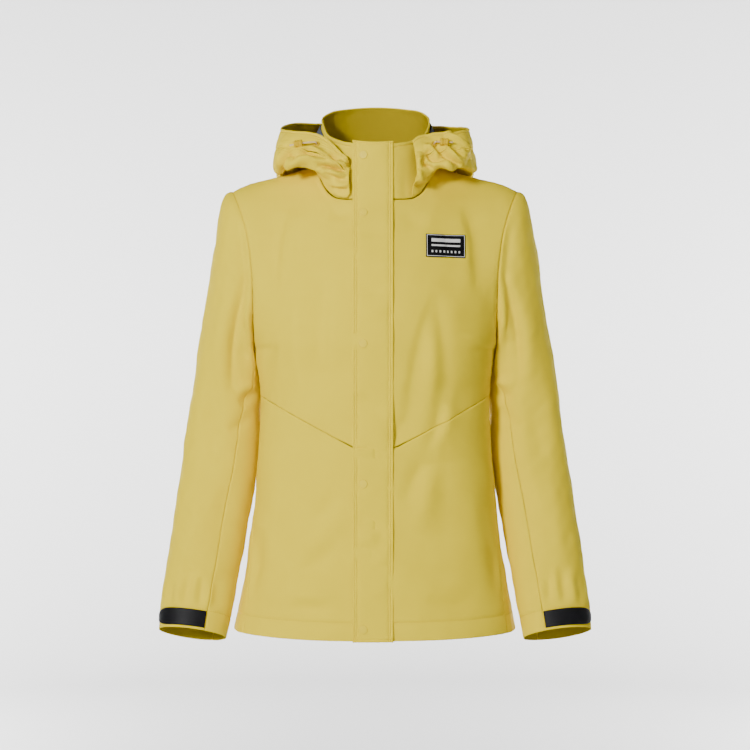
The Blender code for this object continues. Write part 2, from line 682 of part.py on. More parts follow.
def snap(index, flap, finish, parts):
    """Low round cap that stands just clear of the flap's face."""
    row, column = find_on_grid(flap, SNAP_X, SNAP_HEIGHTS[index])
    face = on_grid(flap, row, column, WALL / 2 + SEAM_GAP + SNAP_THICKNESS / 2)
    outward = (face - on_grid(flap, row, column, 0)).normalized()
    mesh = bpy.data.meshes.new("snap")
    shape = bmesh.new()
    bmesh.ops.create_cone(shape, cap_ends=True, segments=16, radius1=SNAP_RADIUS,
                          radius2=SNAP_RADIUS * 0.86, depth=SNAP_THICKNESS)
    shape.to_mesh(mesh)
    shape.free()
    made = add_object("snap_%d" % (index + 1), mesh, finish, parts)
    set_along(made, face, outward)
    return made


def cuff_tab(name, grid, side, finish, parts):
    """Tab on the upper sleeve's points, its outer end rounded."""
    columns = len(grid[0]) - 1
    first, last = [SLEEVE_PLACES[0] - place for place in TAB_RINGS]
    rows = []
    for across in spread(-1, 1, 3):
        line = []
        for station in TAB_OUTLINE:
            column = station.column if side > 0 else columns - station.column
            row = (first + last) / 2 + (last - first) / 2 * across * station.width
            line.append(on_grid(grid, row, column, (WALL + TAB_THICKNESS) / 2 + TAB_CLEARANCE))
        rows.append(line if side > 0 else line[::-1])
    sheet(name, rows, finish, parts, wall=TAB_THICKNESS)


def patch(grid, finish, parts):
    rows = []
    for up in spread(0, 1, 4):
        line = []
        for right in spread(0, 1, 8):
            out = PATCH_X[0] + (PATCH_X[1] - PATCH_X[0]) * right
            height = PATCH_Z[0] + (PATCH_Z[1] - PATCH_Z[0]) * up - PATCH_SKEW * right
            row, column = find_on_grid(grid, out, height)
            line.append(on_grid(grid, row, column, (WALL + PATCH_THICKNESS) / 2 + PATCH_CLEARANCE))
        rows.append(line)
    sheet("chest_patch", rows, finish, parts, wall=PATCH_THICKNESS)


def brim_stop(azimuth, height):
    """Profile stop at which the hood's outside is at a height."""
    low, high = 2.5, 5.0
    for _ in range(30):
        middle = (low + high) / 2
        if hood_point(azimuth, middle).z < height:
            low = middle
        else:
            high = middle
    return low


def hood_outward(azimuth, stop):
    """Direction out of the hood's face."""
    along = hood_point(azimuth + 1, stop) - hood_point(azimuth - 1, stop)
    up = hood_point(azimuth, min(stop + 0.1, 5)) - hood_point(azimuth, stop - 0.1)
    return along.cross(up).normalized()


def cord_set(side, label, finish, parts):
    """Eyelet, cord and lock on one side of the hood's brim."""
    place = CORD_PLACES[side]
    eyelet_at = side * place.eyelet_azimuth
    lock_at = side * place.lock_azimuth
    eyelet_stop = brim_stop(eyelet_at, place.eyelet_height)
    lock_stop = brim_stop(lock_at, place.lock_height)
    eyelet_out = hood_outward(eyelet_at, eyelet_stop)
    lock_out = hood_outward(lock_at, lock_stop)
    eyelet_face = hood_point(eyelet_at, eyelet_stop) + eyelet_out * (WALL / 2)
    lock_face = hood_point(lock_at, lock_stop) + lock_out * (WALL / 2)

    ring = [(EYELET_RADIUS + EYELET_WIRE * math.sin(turn), EYELET_WIRE * math.cos(turn))
            for turn in [math.radians(degrees) for degrees in range(0, 360, 45)]]
    eyelet = turned("eyelet_" + label, ring, 20, finish, parts)
    set_along(eyelet, eyelet_face + eyelet_out * (EYELET_WIRE + SEAM_GAP * 2), eyelet_out)

    start = eyelet_face + eyelet_out * 0.0008
    lock_middle = lock_face + lock_out * (LOCK_RADIUS + LOCK_STANDOFF)
    direction = (lock_middle - start)
    direction -= lock_out * direction.dot(lock_out)
    direction.normalize()
    entry = lock_middle - direction * (LOCK_LENGTH / 2 + 0.0025)
    end = lock_middle + direction * (LOCK_LENGTH / 2 + CORD_TAIL)
    route = [start, start + eyelet_out * 0.0045 + direction * 0.0012]
    halfway = direction * (direction.dot(entry - start) / 2)
    pull = [start + eyelet_out * 0.0066 + halfway, entry, end]
    cord("drawcord_" + label, smooth_route(route + pull), finish, parts)

    half = LOCK_LENGTH / 2
    soft = 0.0016
    profile = [(LOCK_BORE, half - 0.0006), (LOCK_BORE + 0.0006, half), (LOCK_RADIUS - soft, half),
               (LOCK_RADIUS - soft * 0.3, half - soft * 0.3), (LOCK_RADIUS, half - soft),
               (LOCK_RADIUS, soft - half), (LOCK_RADIUS - soft * 0.3, soft * 0.3 - half),
               (LOCK_RADIUS - soft, -half), (LOCK_BORE + 0.0006, -half), (LOCK_BORE, 0.0006 - half)]
    lock = turned("cord_lock_" + label, profile, 20, finish, parts)
    set_along(lock, lock_middle, direction)


def smooth_route(points):
    """Points of a smooth curve through a route's own points."""
    table = [RoutePoint(index, *point) for index, point in enumerate(points)]
    places = spread(0, len(points) - 1, 3 * (len(points) - 1))
    return [Vector((read(table, at, "x"), read(table, at, "y"), read(table, at, "z"))) for at in places]


def cord(name, points, finish, parts):
    """Round cord along a route, with closed ends."""
    curve = bpy.data.curves.new(name, "CURVE")
    curve.dimensions = "3D"
    curve.bevel_depth = CORD_DIAMETER / 2
    curve.bevel_resolution = 2
    curve.use_fill_caps = True
    spline = curve.splines.new("POLY")
    spline.points.add(len(points) - 1)
    for slot, point in zip(spline.points, points):
        slot.co = (*point, 1)
    return add_object(name, curve, finish, parts)


def clear_scene():
    for old in list(bpy.data.objects):
        bpy.data.objects.remove(old, do_unlink=True)


def build():
    clear_scene()
    parts = bpy.data.collections.new("hooded_shell_jacket")
    bpy.context.scene.collection.children.link(parts)
    shell = material("shell_cloth", SHELL_YELLOW, 0.62)
    tape = material("neck_tape", TAPE_GREY, 0.75)
    black = material("moulded_tab", TAB_BLACK, 0.45)
    woven = material("woven_patch", PATCH_BLACK, 0.8)
    orange = material("cord_and_lock", CORD_ORANGE, 0.5)

    sheet("back", back_grid(), shell, parts)
    fronts = {}
    half = {"lower": front_lower(), "upper": front_upper()}
    outer = sleeve_grid(front_seam, lambda place: back_seam(place) - 360, SLEEVE_UPPER_STEPS)
    under = sleeve_grid(back_seam, front_seam, SLEEVE_UNDER_STEPS)
    for side, label in ((1, "left"), (-1, "right")):
        for level in ("lower", "upper"):
            fronts[level, side] = mirrored(half[level], side)
            sheet("front_%s_%s" % (label, level), fronts[level, side], shell, parts)
        upper_sleeve = mirrored(outer, side)
        sheet("sleeve_%s_upper" % label, upper_sleeve, shell, parts)
        sheet("sleeve_%s_under" % label, mirrored(under, side), shell, parts)
        cuff_tab("cuff_tab_" + label, upper_sleeve, side, black, parts)
        cord_set(side, label, orange, parts)

    low_stop, high_stop = BAND_STOP - BAND_SEAM, BAND_STOP + BAND_SEAM
    left, right = HOOD_STARTS[1], 360 - HOOD_STARTS[-1]
    seam = HOOD_CENTRE_SEAM
    gap = HOOD_SEAM_GAP / 2
    sheet("hood_side_left", hood_grid(left, seam - gap, 0, low_stop), shell, parts)
    sheet("hood_centre", hood_grid(seam + gap, 360 - seam - gap, 0, low_stop), shell, parts)
    sheet("hood_side_right", hood_grid(360 - seam + gap, right, 0, low_stop), shell, parts)
    sheet("hood_brim", hood_grid(left, right, high_stop, RIM_STOP), shell, parts)

    flap = flap_grid(fronts)
    sheet("storm_flap", flap, shell, parts)
    for index in range(len(SNAP_HEIGHTS)):
        snap(index, flap, shell, parts)
    patch(fronts["upper", 1], woven, parts)
    sheet("collar", collar_grid(), shell, parts, closed=True)
    sheet("neck_tape", tape_grid(), tape, parts)


if __name__ == "__main__":
    build()
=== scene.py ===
"""Looks of the hooded shell jacket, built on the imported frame.

Metres, but for the crease tables; +Z up, front towards -Y, wearer's left towards +X. Every
cloth piece is a thin shell on the surface that its solid has: a fine grid with its creases,
seam grooves and stitches.
"""

import math
from collections import namedtuple

import bpy
import numpy as np
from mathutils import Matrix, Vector


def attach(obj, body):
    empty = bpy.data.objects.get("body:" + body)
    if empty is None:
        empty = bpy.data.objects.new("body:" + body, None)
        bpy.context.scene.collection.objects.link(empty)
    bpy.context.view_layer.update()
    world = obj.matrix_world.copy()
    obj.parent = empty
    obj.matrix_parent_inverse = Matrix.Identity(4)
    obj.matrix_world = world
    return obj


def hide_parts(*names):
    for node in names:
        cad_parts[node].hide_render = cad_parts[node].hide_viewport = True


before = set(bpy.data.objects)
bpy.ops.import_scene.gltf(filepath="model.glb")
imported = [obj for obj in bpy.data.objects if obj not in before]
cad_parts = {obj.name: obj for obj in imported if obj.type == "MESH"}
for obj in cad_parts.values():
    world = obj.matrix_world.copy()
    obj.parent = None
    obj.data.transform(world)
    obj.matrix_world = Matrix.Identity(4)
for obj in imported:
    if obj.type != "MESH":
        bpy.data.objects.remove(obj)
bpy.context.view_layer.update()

# ---------------------------------------------------------------- sizes of the solids
SIDES = ((1, "left"), (-1, "right"))  # the wearer's
WALL = 0.0014
SEAM_GAP = 0.0003
LAYER = WALL + SEAM_GAP
UNDERARM_GAP = 0.0012

HEM_HEIGHT = -0.645
HEM_DIP = 0.0045
ARMPIT_HEIGHT = -0.250
SHOULDER_POINT = (0.200, -0.031)
ARMHOLE_HALF_DEPTH = 0.060
TORSO_SQUARENESS = 2.3

Slice = namedtuple("Slice", "height half_width front_depth back_depth side_seam")
TORSO = [
    Slice(-0.645, 0.1990, 0.122, 0.120, 65.0),
    Slice(-0.600, 0.1905, 0.121, 0.117, 67.0),
    Slice(-0.540, 0.1798, 0.118, 0.112, 72.0),
    Slice(-0.482, 0.1713, 0.116, 0.108, 78.0),
    Slice(-0.417, 0.1650, 0.115, 0.104, 84.0),
    Slice(-0.320, 0.1607, 0.119, 0.103, 88.0),
    Slice(-0.250, 0.1680, 0.126, 0.110, 90.0),
]

FRONT_SEAM_LOW = -0.3875
FRONT_SEAM_START = 0.030
FRONT_SEAM_RISE = 0.53

Neck = namedtuple("Neck", "azimuth seam_height rim_height")
NECK = [
    Neck(0, -0.0480, 0.0262),
    Neck(30, -0.0475, 0.0305),
    Neck(46, -0.0395, 0.0365),
    Neck(62, -0.0215, 0.0455),
    Neck(75, -0.0070, 0.0585),
    Neck(90, 0.0040, 0.0698),
    Neck(110, 0.0105, 0.0800),
    Neck(132, 0.0140, 0.0886),
    Neck(180, 0.0155, 0.0954),
]
NECK_HALF_WIDTH = 0.082
NECK_FRONT = 0.088
NECK_BACK = 0.070
NECK_SQUARENESS = 2.6
RIM_HALF_WIDTH = 0.0755
RIM_FRONT = 0.088
RIM_BACK = 0.060
RIM_SQUARENESS = 2.1
RIM_SHIFT = 0.0016
COLLAR_LIFT = 0.0009
COLLAR_INSET = 0.0027
COLLAR_INSET_START = 18.0
COLLAR_INSET_RUN = 7.0

Shoulder = namedtuple("Shoulder", "out height")
SHOULDER = [
    Shoulder(0.082, 0.0040),
    Shoulder(0.137, -0.0107),
    Shoulder(0.176, -0.0203),
    Shoulder(0.200, -0.0310),
]
NECK_SHARE = 0.45
YOKE_ROUNDING = 2.0
NECK_ROUNDING = 2.2
ARMHOLE_SPREAD = 3.0
FRONT_HOLLOW = 0.013
BACK_HOLLOW = 0.006

Ring = namedtuple("Ring", "place outer_x outer_y outer_z inner_x inner_y inner_z half_depth "
                          "lift hollow front_seam back_seam")
SLEEVE = [
    Ring(0, 0.2000, 0.000, -0.0310, 0.1680, 0.000, -0.2500, 0.0600, 0.00, 1.00, 152, 232),
    Ring(1, 0.2080, 0.000, -0.0335, 0.1702, 0.001, -0.2555, 0.0606, 0.00, 0.85, 150, 232),
    Ring(2, 0.2140, 0.001, -0.0430, 0.1696, 0.004, -0.2620, 0.0612, 0.00, 0.65, 147, 232),
    Ring(3, 0.2205, 0.003, -0.0680, 0.1686, 0.009, -0.2700, 0.0615, 0.00, 0.45, 144, 232),
    Ring(4, 0.2265, 0.005, -0.1050, 0.1672, 0.016, -0.2790, 0.0612, 0.00, 0.30, 143, 232),
    Ring(5, 0.2340, 0.008, -0.1550, 0.1654, 0.023, -0.2895, 0.0600, 0.00, 0.15, 142, 233),
    Ring(6, 0.2420, 0.012, -0.2050, 0.1630, 0.028, -0.3015, 0.0580, 0.00, 0.05, 140, 234),
    Ring(7, 0.2510, 0.017, -0.2600, 0.1613, 0.030, -0.3160, 0.0550, 0.00, 0.00, 134, 235),
    Ring(8, 0.2585, 0.022, -0.3150, 0.1614, 0.030, -0.3380, 0.0525, 0.04, 0.00, 123, 236),
    Ring(9, 0.2662, 0.023, -0.3640, 0.1625, 0.027, -0.3780, 0.0500, 0.10, 0.00, 117, 236),
    Ring(10, 0.2750, 0.015, -0.4250, 0.1690, 0.016, -0.4390, 0.0475, 0.16, 0.00, 115, 236),
    Ring(11, 0.2830, 0.002, -0.4850, 0.1797, 0.002, -0.5010, 0.0440, 0.22, 0.00, 114, 236),
    Ring(12, 0.2910, -0.014, -0.5470, 0.1902, -0.014, -0.5620, 0.0400, 0.27, 0.00, 114, 236),
    Ring(13, 0.2960, -0.026, -0.5880, 0.1975, -0.026, -0.6020, 0.0365, 0.31, 0.00, 114, 236),
    Ring(14, 0.2990, -0.034, -0.6150, 0.2025, -0.034, -0.6280, 0.0335, 0.34, 0.00, 114, 236),
    Ring(15, 0.2995, -0.042, -0.6425, 0.2075, -0.042, -0.6545, 0.0315, 0.35, 0.00, 114, 236),
]
Bulge = namedtuple("Bulge", "place turn half_length half_width slant depth")
SLEEVE_BULGES = [
    Bulge(5.0, 118, 3.0, 16, 0.0, 0.0040),
    Bulge(5.4, 238, 2.6, 16, 0.0, 0.0035),
    Bulge(8.1, 172, 0.9, 34, 0.0, 0.0035),
]

Profile = namedtuple("Profile", "azimuth inner_r inner_z belly_r belly_z wall_r wall_z "
                                "band_r band_z rim_r rim_z")
HOOD = [
    Profile(16, 0.0920, -0.041, 0.0932, -0.034, 0.0935, -0.027, 0.0933, -0.020, 0.0925, -0.012),
    Profile(28, 0.0990, -0.036, 0.1060, -0.022, 0.1070, -0.009, 0.1045, 0.001, 0.0990, 0.016),
    Profile(45, 0.1060, -0.011, 0.1220, -0.005, 0.1245, 0.008, 0.1190, 0.020, 0.1060, 0.041),
    Profile(60, 0.1100, 0.007, 0.1400, -0.002, 0.1455, 0.011, 0.1410, 0.027, 0.1270, 0.0475),
    Profile(75, 0.1130, 0.008, 0.1395, -0.005, 0.1415, 0.011, 0.1410, 0.030, 0.1335, 0.053),
    Profile(90, 0.1100, 0.008, 0.1345, -0.0055, 0.1385, 0.012, 0.1375, 0.032, 0.1290, 0.060),
    Profile(112, 0.1080, 0.002, 0.1400, -0.029, 0.1490, -0.003, 0.1430, 0.038, 0.1270, 0.066),
    Profile(135, 0.1100, -0.022, 0.1450, -0.088, 0.1660, -0.038, 0.1470, 0.044, 0.1190, 0.072),
    Profile(158, 0.1090, -0.050, 0.1430, -0.136, 0.1760, -0.072, 0.1480, 0.049, 0.1130, 0.0765),
    Profile(180, 0.1060, -0.058, 0.1390, -0.152, 0.1780, -0.082, 0.1480, 0.050, 0.1110, 0.078),
]
RIM_STOP = 5
HOOD_BACK_LEAN = 0.2
HOOD_BASE_LAYERS = 2.5
HOOD_STARTS = {1: 31.0, -1: 21.0}
HOOD_CENTRE_SEAM = 152.0
HOOD_BULGES = [
    Bulge(2.9, -72, 1.3, 10, 9.0, -0.0040),
    Bulge(2.6, -48, 1.2, 9, -7.0, -0.0040),
    Bulge(2.4, -100, 1.4, 12, 6.0, 0.0045),
    Bulge(3.0, 66, 1.6, 9, 12.0, 0.0050),
    Bulge(2.6, 84, 1.4, 10, 8.0, -0.0050),
    Bulge(2.4, 46, 1.2, 9, -6.0, -0.0045),
    Bulge(2.5, 122, 1.6, 14, -8.0, -0.0060),
    Bulge(2.6, -128, 1.6, 14, 8.0, -0.0060),
    Bulge(2.7, 168, 1.6, 13, 5.0, -0.0060),
    Bulge(2.3, -160, 1.4, 12, -6.0, -0.0050),
]
BULGES_START, BULGES_FADE, BULGES_END = 1.5, 1.4, 5.4     # stops over which they grow and fade
RIM_LIFTS = [Bulge(5.0, -118, 1.8, 30, 0.0, 0.0055), Bulge(5.0, 33, 2.6, 11, 0.0, 0.0105)]

TAPE_START = 54.0
TAPE_BELOW_RIM = 0.008
TAPE_HEIGHT = 0.030
TAPE_FLARE = 0.011
TAPE_LAYERS = 1.15

FLAP_EDGES = (-0.0300, 0.0245)
FLAP_BOTTOM = HEM_HEIGHT - HEM_DIP - 0.001
FLAP_TOP_ABOVE_COLLAR = 0.004
FLAP_LAYERS = 1.1
SNAP_X = -0.0163
SNAP_HEIGHTS = (0.0125, -0.0668, -0.2463, -0.4367, -0.6335)

TAB_RINGS = (14.88, 14.06)
TAB_THICKNESS = 0.0020
PATCH_X = (0.0691, 0.1232)
PATCH_Z = (-0.1283, -0.0963)
PATCH_SKEW = 0.0012

CordPlace = namedtuple("CordPlace", "eyelet_azimuth eyelet_height lock_azimuth lock_height")
CORD_PLACES = {
    1: CordPlace(44.5, 0.0275, 49.5, 0.0270),
    -1: CordPlace(44.5, 0.0275, 52.5, 0.0245),
}
EYELET_RADIUS = 0.0030
EYELET_WIRE = 0.0009
CORD_DIAMETER = 0.0024
CORD_TAIL = 0.0062
LOCK_RADIUS = 0.0052
LOCK_LENGTH = 0.0120
LOCK_STANDOFF = 0.0016


# ---------------------------------------------------------------- forms, on numpy arrays
def hermite(places, values, at, level_ends=False):
    """Smooth curve through values at places; values may have one column for each point."""
    slopes = np.empty_like(values)
    gaps = (places[2:] - places[:-2]).reshape((-1,) + (1,) * (values.ndim - 1))
    slopes[1:-1] = (values[2:] - values[:-2]) / gaps
    slopes[0] = (values[1] - values[0]) / (places[1] - places[0])
    slopes[-1] = (values[-1] - values[-2]) / (places[-1] - places[-2])
    if level_ends:
        slopes[0] = slopes[-1] = 0.0
    at = np.clip(at, places[0], places[-1])
    low = np.clip(np.searchsorted(places, at, side="right") - 1, 0, len(places) - 2)
    span = places[low + 1] - places[low]
    t = (at - places[low]) / span
    where = tuple(np.indices(at.shape)) if values.ndim > 1 else ()
    here, after = (low, *where), (low + 1, *where)
    start = values[here] * (1 + 2 * t) * (1 - t) ** 2
    end = values[after] * t * t * (3 - 2 * t)
    bend = slopes[here] * t * (1 - t) ** 2 - slopes[after] * t * t * (1 - t)
    return start + end + bend * span


def curve(points, at):
    """Smooth curve through points, at places counted in points from the first."""
    places = np.arange(float(len(points)))
    return np.stack([hermite(places, column, at) for column in points.T], -1)


def read(table, at, column, level_ends=False):
    places = np.array([row[0] for row in table], float)
    values = np.array([getattr(row, column) for row in table], float)
    return hermite(places, values, np.asarray(at, float), level_ends)


def spread(first, second):
    """Two values as arrays of one shape."""
    return np.broadcast_arrays(np.asarray(first, float), np.asarray(second, float))


def vectors(x, y, z):
    return np.stack(np.broadcast_arrays(x, y, z), -1).astype(float)


def superellipse(degrees, squareness):
    turn = np.radians(degrees)
    power = 2.0 / squareness
    sideways = np.sign(np.sin(turn)) * np.abs(np.sin(turn)) ** power
    forward = np.sign(np.cos(turn)) * np.abs(np.cos(turn)) ** power
    return sideways, forward


def folded_azimuth(azimuth):
    return np.abs((np.asarray(azimuth, float) + 180) % 360 - 180)


BULGE_FADE = 1.4                      # how fast a bulge fades sideways
BULGE_REACH = 2.5                     # half widths past which nothing is left of it


def bulge_weight(bulge, place, turn):
    along = (place - bulge.place) / bulge.half_length
    off = turn - bulge.turn - bulge.slant * (place - bulge.place)
    off = ((off + 180) % 360 - 180) / bulge.half_width
    inside = (np.abs(along) < 1) & (np.abs(off) < BULGE_REACH)
    weight = np.cos(np.clip(along, -1, 1) * math.pi / 2) ** 2 * np.exp(-off * off * BULGE_FADE)
    return np.where(inside, weight, 0.0)


def sunk(bulges, place, turn):
    return sum(bulge.depth * bulge_weight(bulge, place, turn) for bulge in bulges)


def torso_point(angle, height):
    sideways, forward = superellipse(angle, TORSO_SQUARENESS)
    depth = np.where(forward > 0, read(TORSO, height, "front_depth"),
                     read(TORSO, height, "back_depth"))
    return vectors(read(TORSO, height, "half_width") * sideways, -depth * forward, height)


def neck_point(azimuth, rise):
    azimuth, rise = spread(azimuth, rise)
    squareness = NECK_SQUARENESS + (RIM_SQUARENESS - NECK_SQUARENESS) * rise
    sideways, forward = superellipse(azimuth, squareness)
    half_width = NECK_HALF_WIDTH + (RIM_HALF_WIDTH - NECK_HALF_WIDTH) * rise
    depth = np.where(forward > 0, NECK_FRONT + (RIM_FRONT - NECK_FRONT) * rise,
                     NECK_BACK + (RIM_BACK - NECK_BACK) * rise)
    seam = read(NECK, folded_azimuth(azimuth), "seam_height")
    rim = read(NECK, folded_azimuth(azimuth), "rim_height", level_ends=True)
    out = half_width * sideways + RIM_SHIFT * rise
    return vectors(out, -depth * forward, seam + (rim - seam) * rise)


def top_edge(face, across):
    azimuth = 90 * np.minimum(across, NECK_SHARE) / NECK_SHARE
    neck = neck_point(azimuth if face < 0 else 180 - azimuth, 0.0)
    share = (across - NECK_SHARE) / (1 - NECK_SHARE)
    out = NECK_HALF_WIDTH + (SHOULDER_POINT[0] - NECK_HALF_WIDTH) * share
    shoulder = vectors(out, 0 * out, read(SHOULDER, out, "height"))
    return np.where((across <= NECK_SHARE)[..., None], neck, shoulder)


def yoke_point(face, across, rise):
    across, rise = spread(across, rise)
    angle = 90 * across if face < 0 else 180 - 90 * across
    low = torso_point(angle, ARMPIT_HEIGHT + 0 * angle)
    top = top_edge(face, across)
    to_shoulder = np.minimum(across / NECK_SHARE, 1.0) ** 2
    neck_keep = 1 - rise ** NECK_ROUNDING
    shoulder_keep = np.maximum(1 - rise ** YOKE_ROUNDING, 0) ** (1 / YOKE_ROUNDING)
    keep = neck_keep + (shoulder_keep - neck_keep) * to_shoulder
    at_armhole = across ** ARMHOLE_SPREAD
    loop = np.sqrt(np.maximum(rise * (1 - rise), 0.0))
    hollow = FRONT_HOLLOW if face < 0 else BACK_HOLLOW
    out = low[..., 0] + (top[..., 0] - low[..., 0]) * rise
    out = out - hollow * 4 * loop ** 2 * (0.5 + rise) * at_armhole
    depth = np.abs(low[..., 1]) * keep + np.abs(top[..., 1]) * (1 - keep)
    depth = depth + ARMHOLE_HALF_DEPTH * 2 * loop * at_armhole
    height = ARMPIT_HEIGHT + (top[..., 2] - ARMPIT_HEIGHT) * rise
    return vectors(out, face * depth, height)


def sleeve_point(turn, place):
    turn, place = spread(turn, place)
    row = {name: read(SLEEVE, place, name) for name in Ring._fields[1:]}
    outer = vectors(row["outer_x"], row["outer_y"], row["outer_z"])
    inner = vectors(row["inner_x"], row["inner_y"], row["inner_z"])
    forward, outward = np.sin(np.radians(turn)), np.cos(np.radians(turn))
    rise = (1 + outward) / 2
    depth = row["half_depth"]
    scale = 1 - sunk(SLEEVE_BULGES, place, turn) / depth
    point = (outer + inner) / 2 + (outer - inner) / 2 * (outward * scale)[..., None]
    point[..., 1] -= depth * forward * scale
    point[..., 2] += row["lift"] * depth * forward * scale
    hollow = np.where(forward > 0, FRONT_HOLLOW, BACK_HOLLOW)
    point[..., 0] -= hollow * row["hollow"] * 4 * rise * (1 - rise) * (0.5 + rise)
    near_armhole = np.maximum(0.0, 1 - place)
    point[..., 0] += UNDERARM_GAP * (1 - rise) ** 3 * near_armhole
    return point


def outward_from_axis(point):
    flat = point[..., :2] / np.linalg.norm(point[..., :2], axis=-1, keepdims=True)
    return np.concatenate([flat, 0 * flat[..., :1]], -1)


def collar_point(azimuth, rise):
    azimuth, rise = spread(azimuth, rise)
    point = neck_point(azimuth, rise)
    share = np.clip((folded_azimuth(azimuth) - COLLAR_INSET_START) / COLLAR_INSET_RUN, 0, 1)
    point = point - outward_from_axis(point) * (COLLAR_INSET * share * (1 - rise))[..., None]
    point[..., 2] += COLLAR_LIFT * (1 - rise)
    return point


def hood_base(folded):
    base = neck_point(folded, 0.0)
    lean = np.where(folded < 90, np.sin(np.radians(folded)),
                    1 - HOOD_BACK_LEAN * (folded - 90) / 90)
    outward = outward_from_axis(base) * (1 - lean)[..., None]
    outward[..., 2] += lean
    outward /= np.linalg.norm(outward, axis=-1, keepdims=True)
    return base + outward * LAYER * HOOD_BASE_LAYERS


def hood_point(azimuth, stop):
    azimuth, stop = spread(azimuth, stop)
    azimuth = (azimuth + 180) % 360 - 180
    folded = np.abs(azimuth)
    base = hood_base(folded)
    radii = [np.hypot(base[..., 0], base[..., 1])]
    heights = [base[..., 2]]
    for name in ("inner", "belly", "wall", "band", "rim"):
        radii.append(read(HOOD, folded, name + "_r"))
        heights.append(read(HOOD, folded, name + "_z"))
    stops = np.arange(6.0)
    taper = (np.minimum(1.0, stop / BULGES_START)
             * np.minimum(1.0, (BULGES_END - stop) / BULGES_FADE))
    radius = hermite(stops, np.array(radii), stop) - sunk(HOOD_BULGES, stop, azimuth) * taper
    base_azimuth = np.degrees(np.arctan2(base[..., 0], -base[..., 1]))
    around = np.radians(folded + (base_azimuth - folded) * np.maximum(0.0, 1 - stop))
    height = hermite(stops, np.array(heights), stop) + sunk(RIM_LIFTS, stop, azimuth)
    out = np.where(azimuth < 0, -1, 1) * radius * np.sin(around)
    return vectors(out, -radius * np.cos(around), height)


def tape_point(azimuth, down):
    azimuth, down = spread(azimuth, down)
    folded = folded_azimuth(azimuth)
    seam = read(NECK, folded, "seam_height")
    rim = read(NECK, folded, "rim_height")
    rise = 1 - (TAPE_BELOW_RIM + TAPE_HEIGHT * down) / (rim - seam)
    point = neck_point(azimuth, rise)
    return point + outward_from_axis(point) * (LAYER * TAPE_LAYERS + TAPE_FLARE * down)[..., None]


def seam_height(out):
    return FRONT_SEAM_LOW + FRONT_SEAM_RISE * np.maximum(0.0, out - FRONT_SEAM_START)


def hem_height(angle):
    return HEM_HEIGHT - HEM_DIP * np.cos(np.radians(angle)) ** 2


# ---------------------------------------------------------------- panel surfaces, 0..1 by 0..1
def front_angle(share, height):
    """Front panel's angle at a share of its width; it ends under the flap at x = 0."""
    return share * read(TORSO, height, "side_seam")


SEAM_ROUNDS = 8                       # in which the slanted seam's height settles
UPPER_BODY_SHARE = 0.36               # of the upper front's rows, below the armpit
YOKE_CROWDING = 1.35                  # of the rows at the top, where the yoke turns over


def front_lower_surface(share, low_share):
    """Front between the hem (low_share 0..1), the slanted seam (1) and the armpit (2)."""
    height = np.full(np.shape(share), FRONT_SEAM_LOW)
    hem = hem_height(front_angle(share, HEM_HEIGHT))
    for _ in range(SEAM_ROUNDS):
        seam = seam_height(torso_point(front_angle(share, height), height)[..., 0])
        height = np.where(low_share < 1, hem + (seam - hem) * low_share,
                          seam + (ARMPIT_HEIGHT - seam) * (low_share - 1))
    return torso_point(front_angle(share, height), height)


def front_upper_surface(s, t):
    below = front_lower_surface(s, 1 + np.minimum(t / UPPER_BODY_SHARE, 1.0))
    rise = np.clip((t - UPPER_BODY_SHARE) / (1 - UPPER_BODY_SHARE), 0, 1)
    above = yoke_point(-1, s, ease(rise))
    return np.where((t < UPPER_BODY_SHARE)[..., None], below, above)


def ease(rise):
    return 1 - (1 - rise) ** YOKE_CROWDING


BACK_BODY_SHARE = 0.62


def back_surface(s, t):
    low = np.minimum(t / BACK_BODY_SHARE, 1.0)
    height = HEM_HEIGHT + (ARMPIT_HEIGHT - HEM_HEIGHT) * low
    edge = read(TORSO, height, "side_seam")
    angle = edge + (360 - 2 * edge) * s
    below = torso_point(angle, height)
    below[..., 2] -= HEM_DIP * np.cos(np.radians(angle)) ** 2 * (1 - low) ** 2
    rise = ease(np.clip((t - BACK_BODY_SHARE) / (1 - BACK_BODY_SHARE), 0, 1))
    across = 1 - 2 * s
    above = yoke_point(1, np.abs(across), rise)
    above[..., 0] *= np.where(across < 0, -1, 1)
    return np.where((t < BACK_BODY_SHARE)[..., None], below, above)


SLEEVE_LAST = 15.0


def over_sleeve(share, place):
    """Point at a share of the way over the sleeve from its front seam to its back one."""
    high = read(SLEEVE, place, "front_seam")
    low = read(SLEEVE, place, "back_seam") - 360
    return sleeve_point(high + (low - high) * share, place)


def sleeve_upper_surface(s, t):
    return over_sleeve(s, SLEEVE_LAST * (1 - t))


def sleeve_under_surface(s, t):
    place = SLEEVE_LAST * (1 - t)
    high = read(SLEEVE, place, "back_seam")
    low = read(SLEEVE, place, "front_seam")
    return sleeve_point(high + (low - high) * s, place)


def collar_surface(s, t):
    return collar_point(360 * s, t)


def hood_surface(start, end, low_stop, high_stop):
    def surface(s, t):
        return hood_point(start + (end - start) * s, low_stop + (high_stop - low_stop) * t)
    return surface


def tape_surface(s, t):
    return tape_point(TAPE_START + (360 - 2 * TAPE_START) * s, 1 - t)


def close_in(low, high, is_short, rounds=40):
    """Halves the spans from low to high until they close on where is_short stops being so."""
    for _ in range(rounds):
        middle = (low + high) / 2
        short = is_short(middle)
        low, high = np.where(short, middle, low), np.where(short, high, middle)
    return low


FLAP_REACH = 0.6                      # share of a front's width that it stays within
COLLAR_REACH = 60.0                   # and degrees of the collar's


def front_at(surface, out, t):
    """Points of a front where it is as far out as asked, at shares of its height."""
    low = np.zeros(t.shape)
    return surface(close_in(low, low + FLAP_REACH, lambda s: surface(s, t)[..., 0] < out), t)


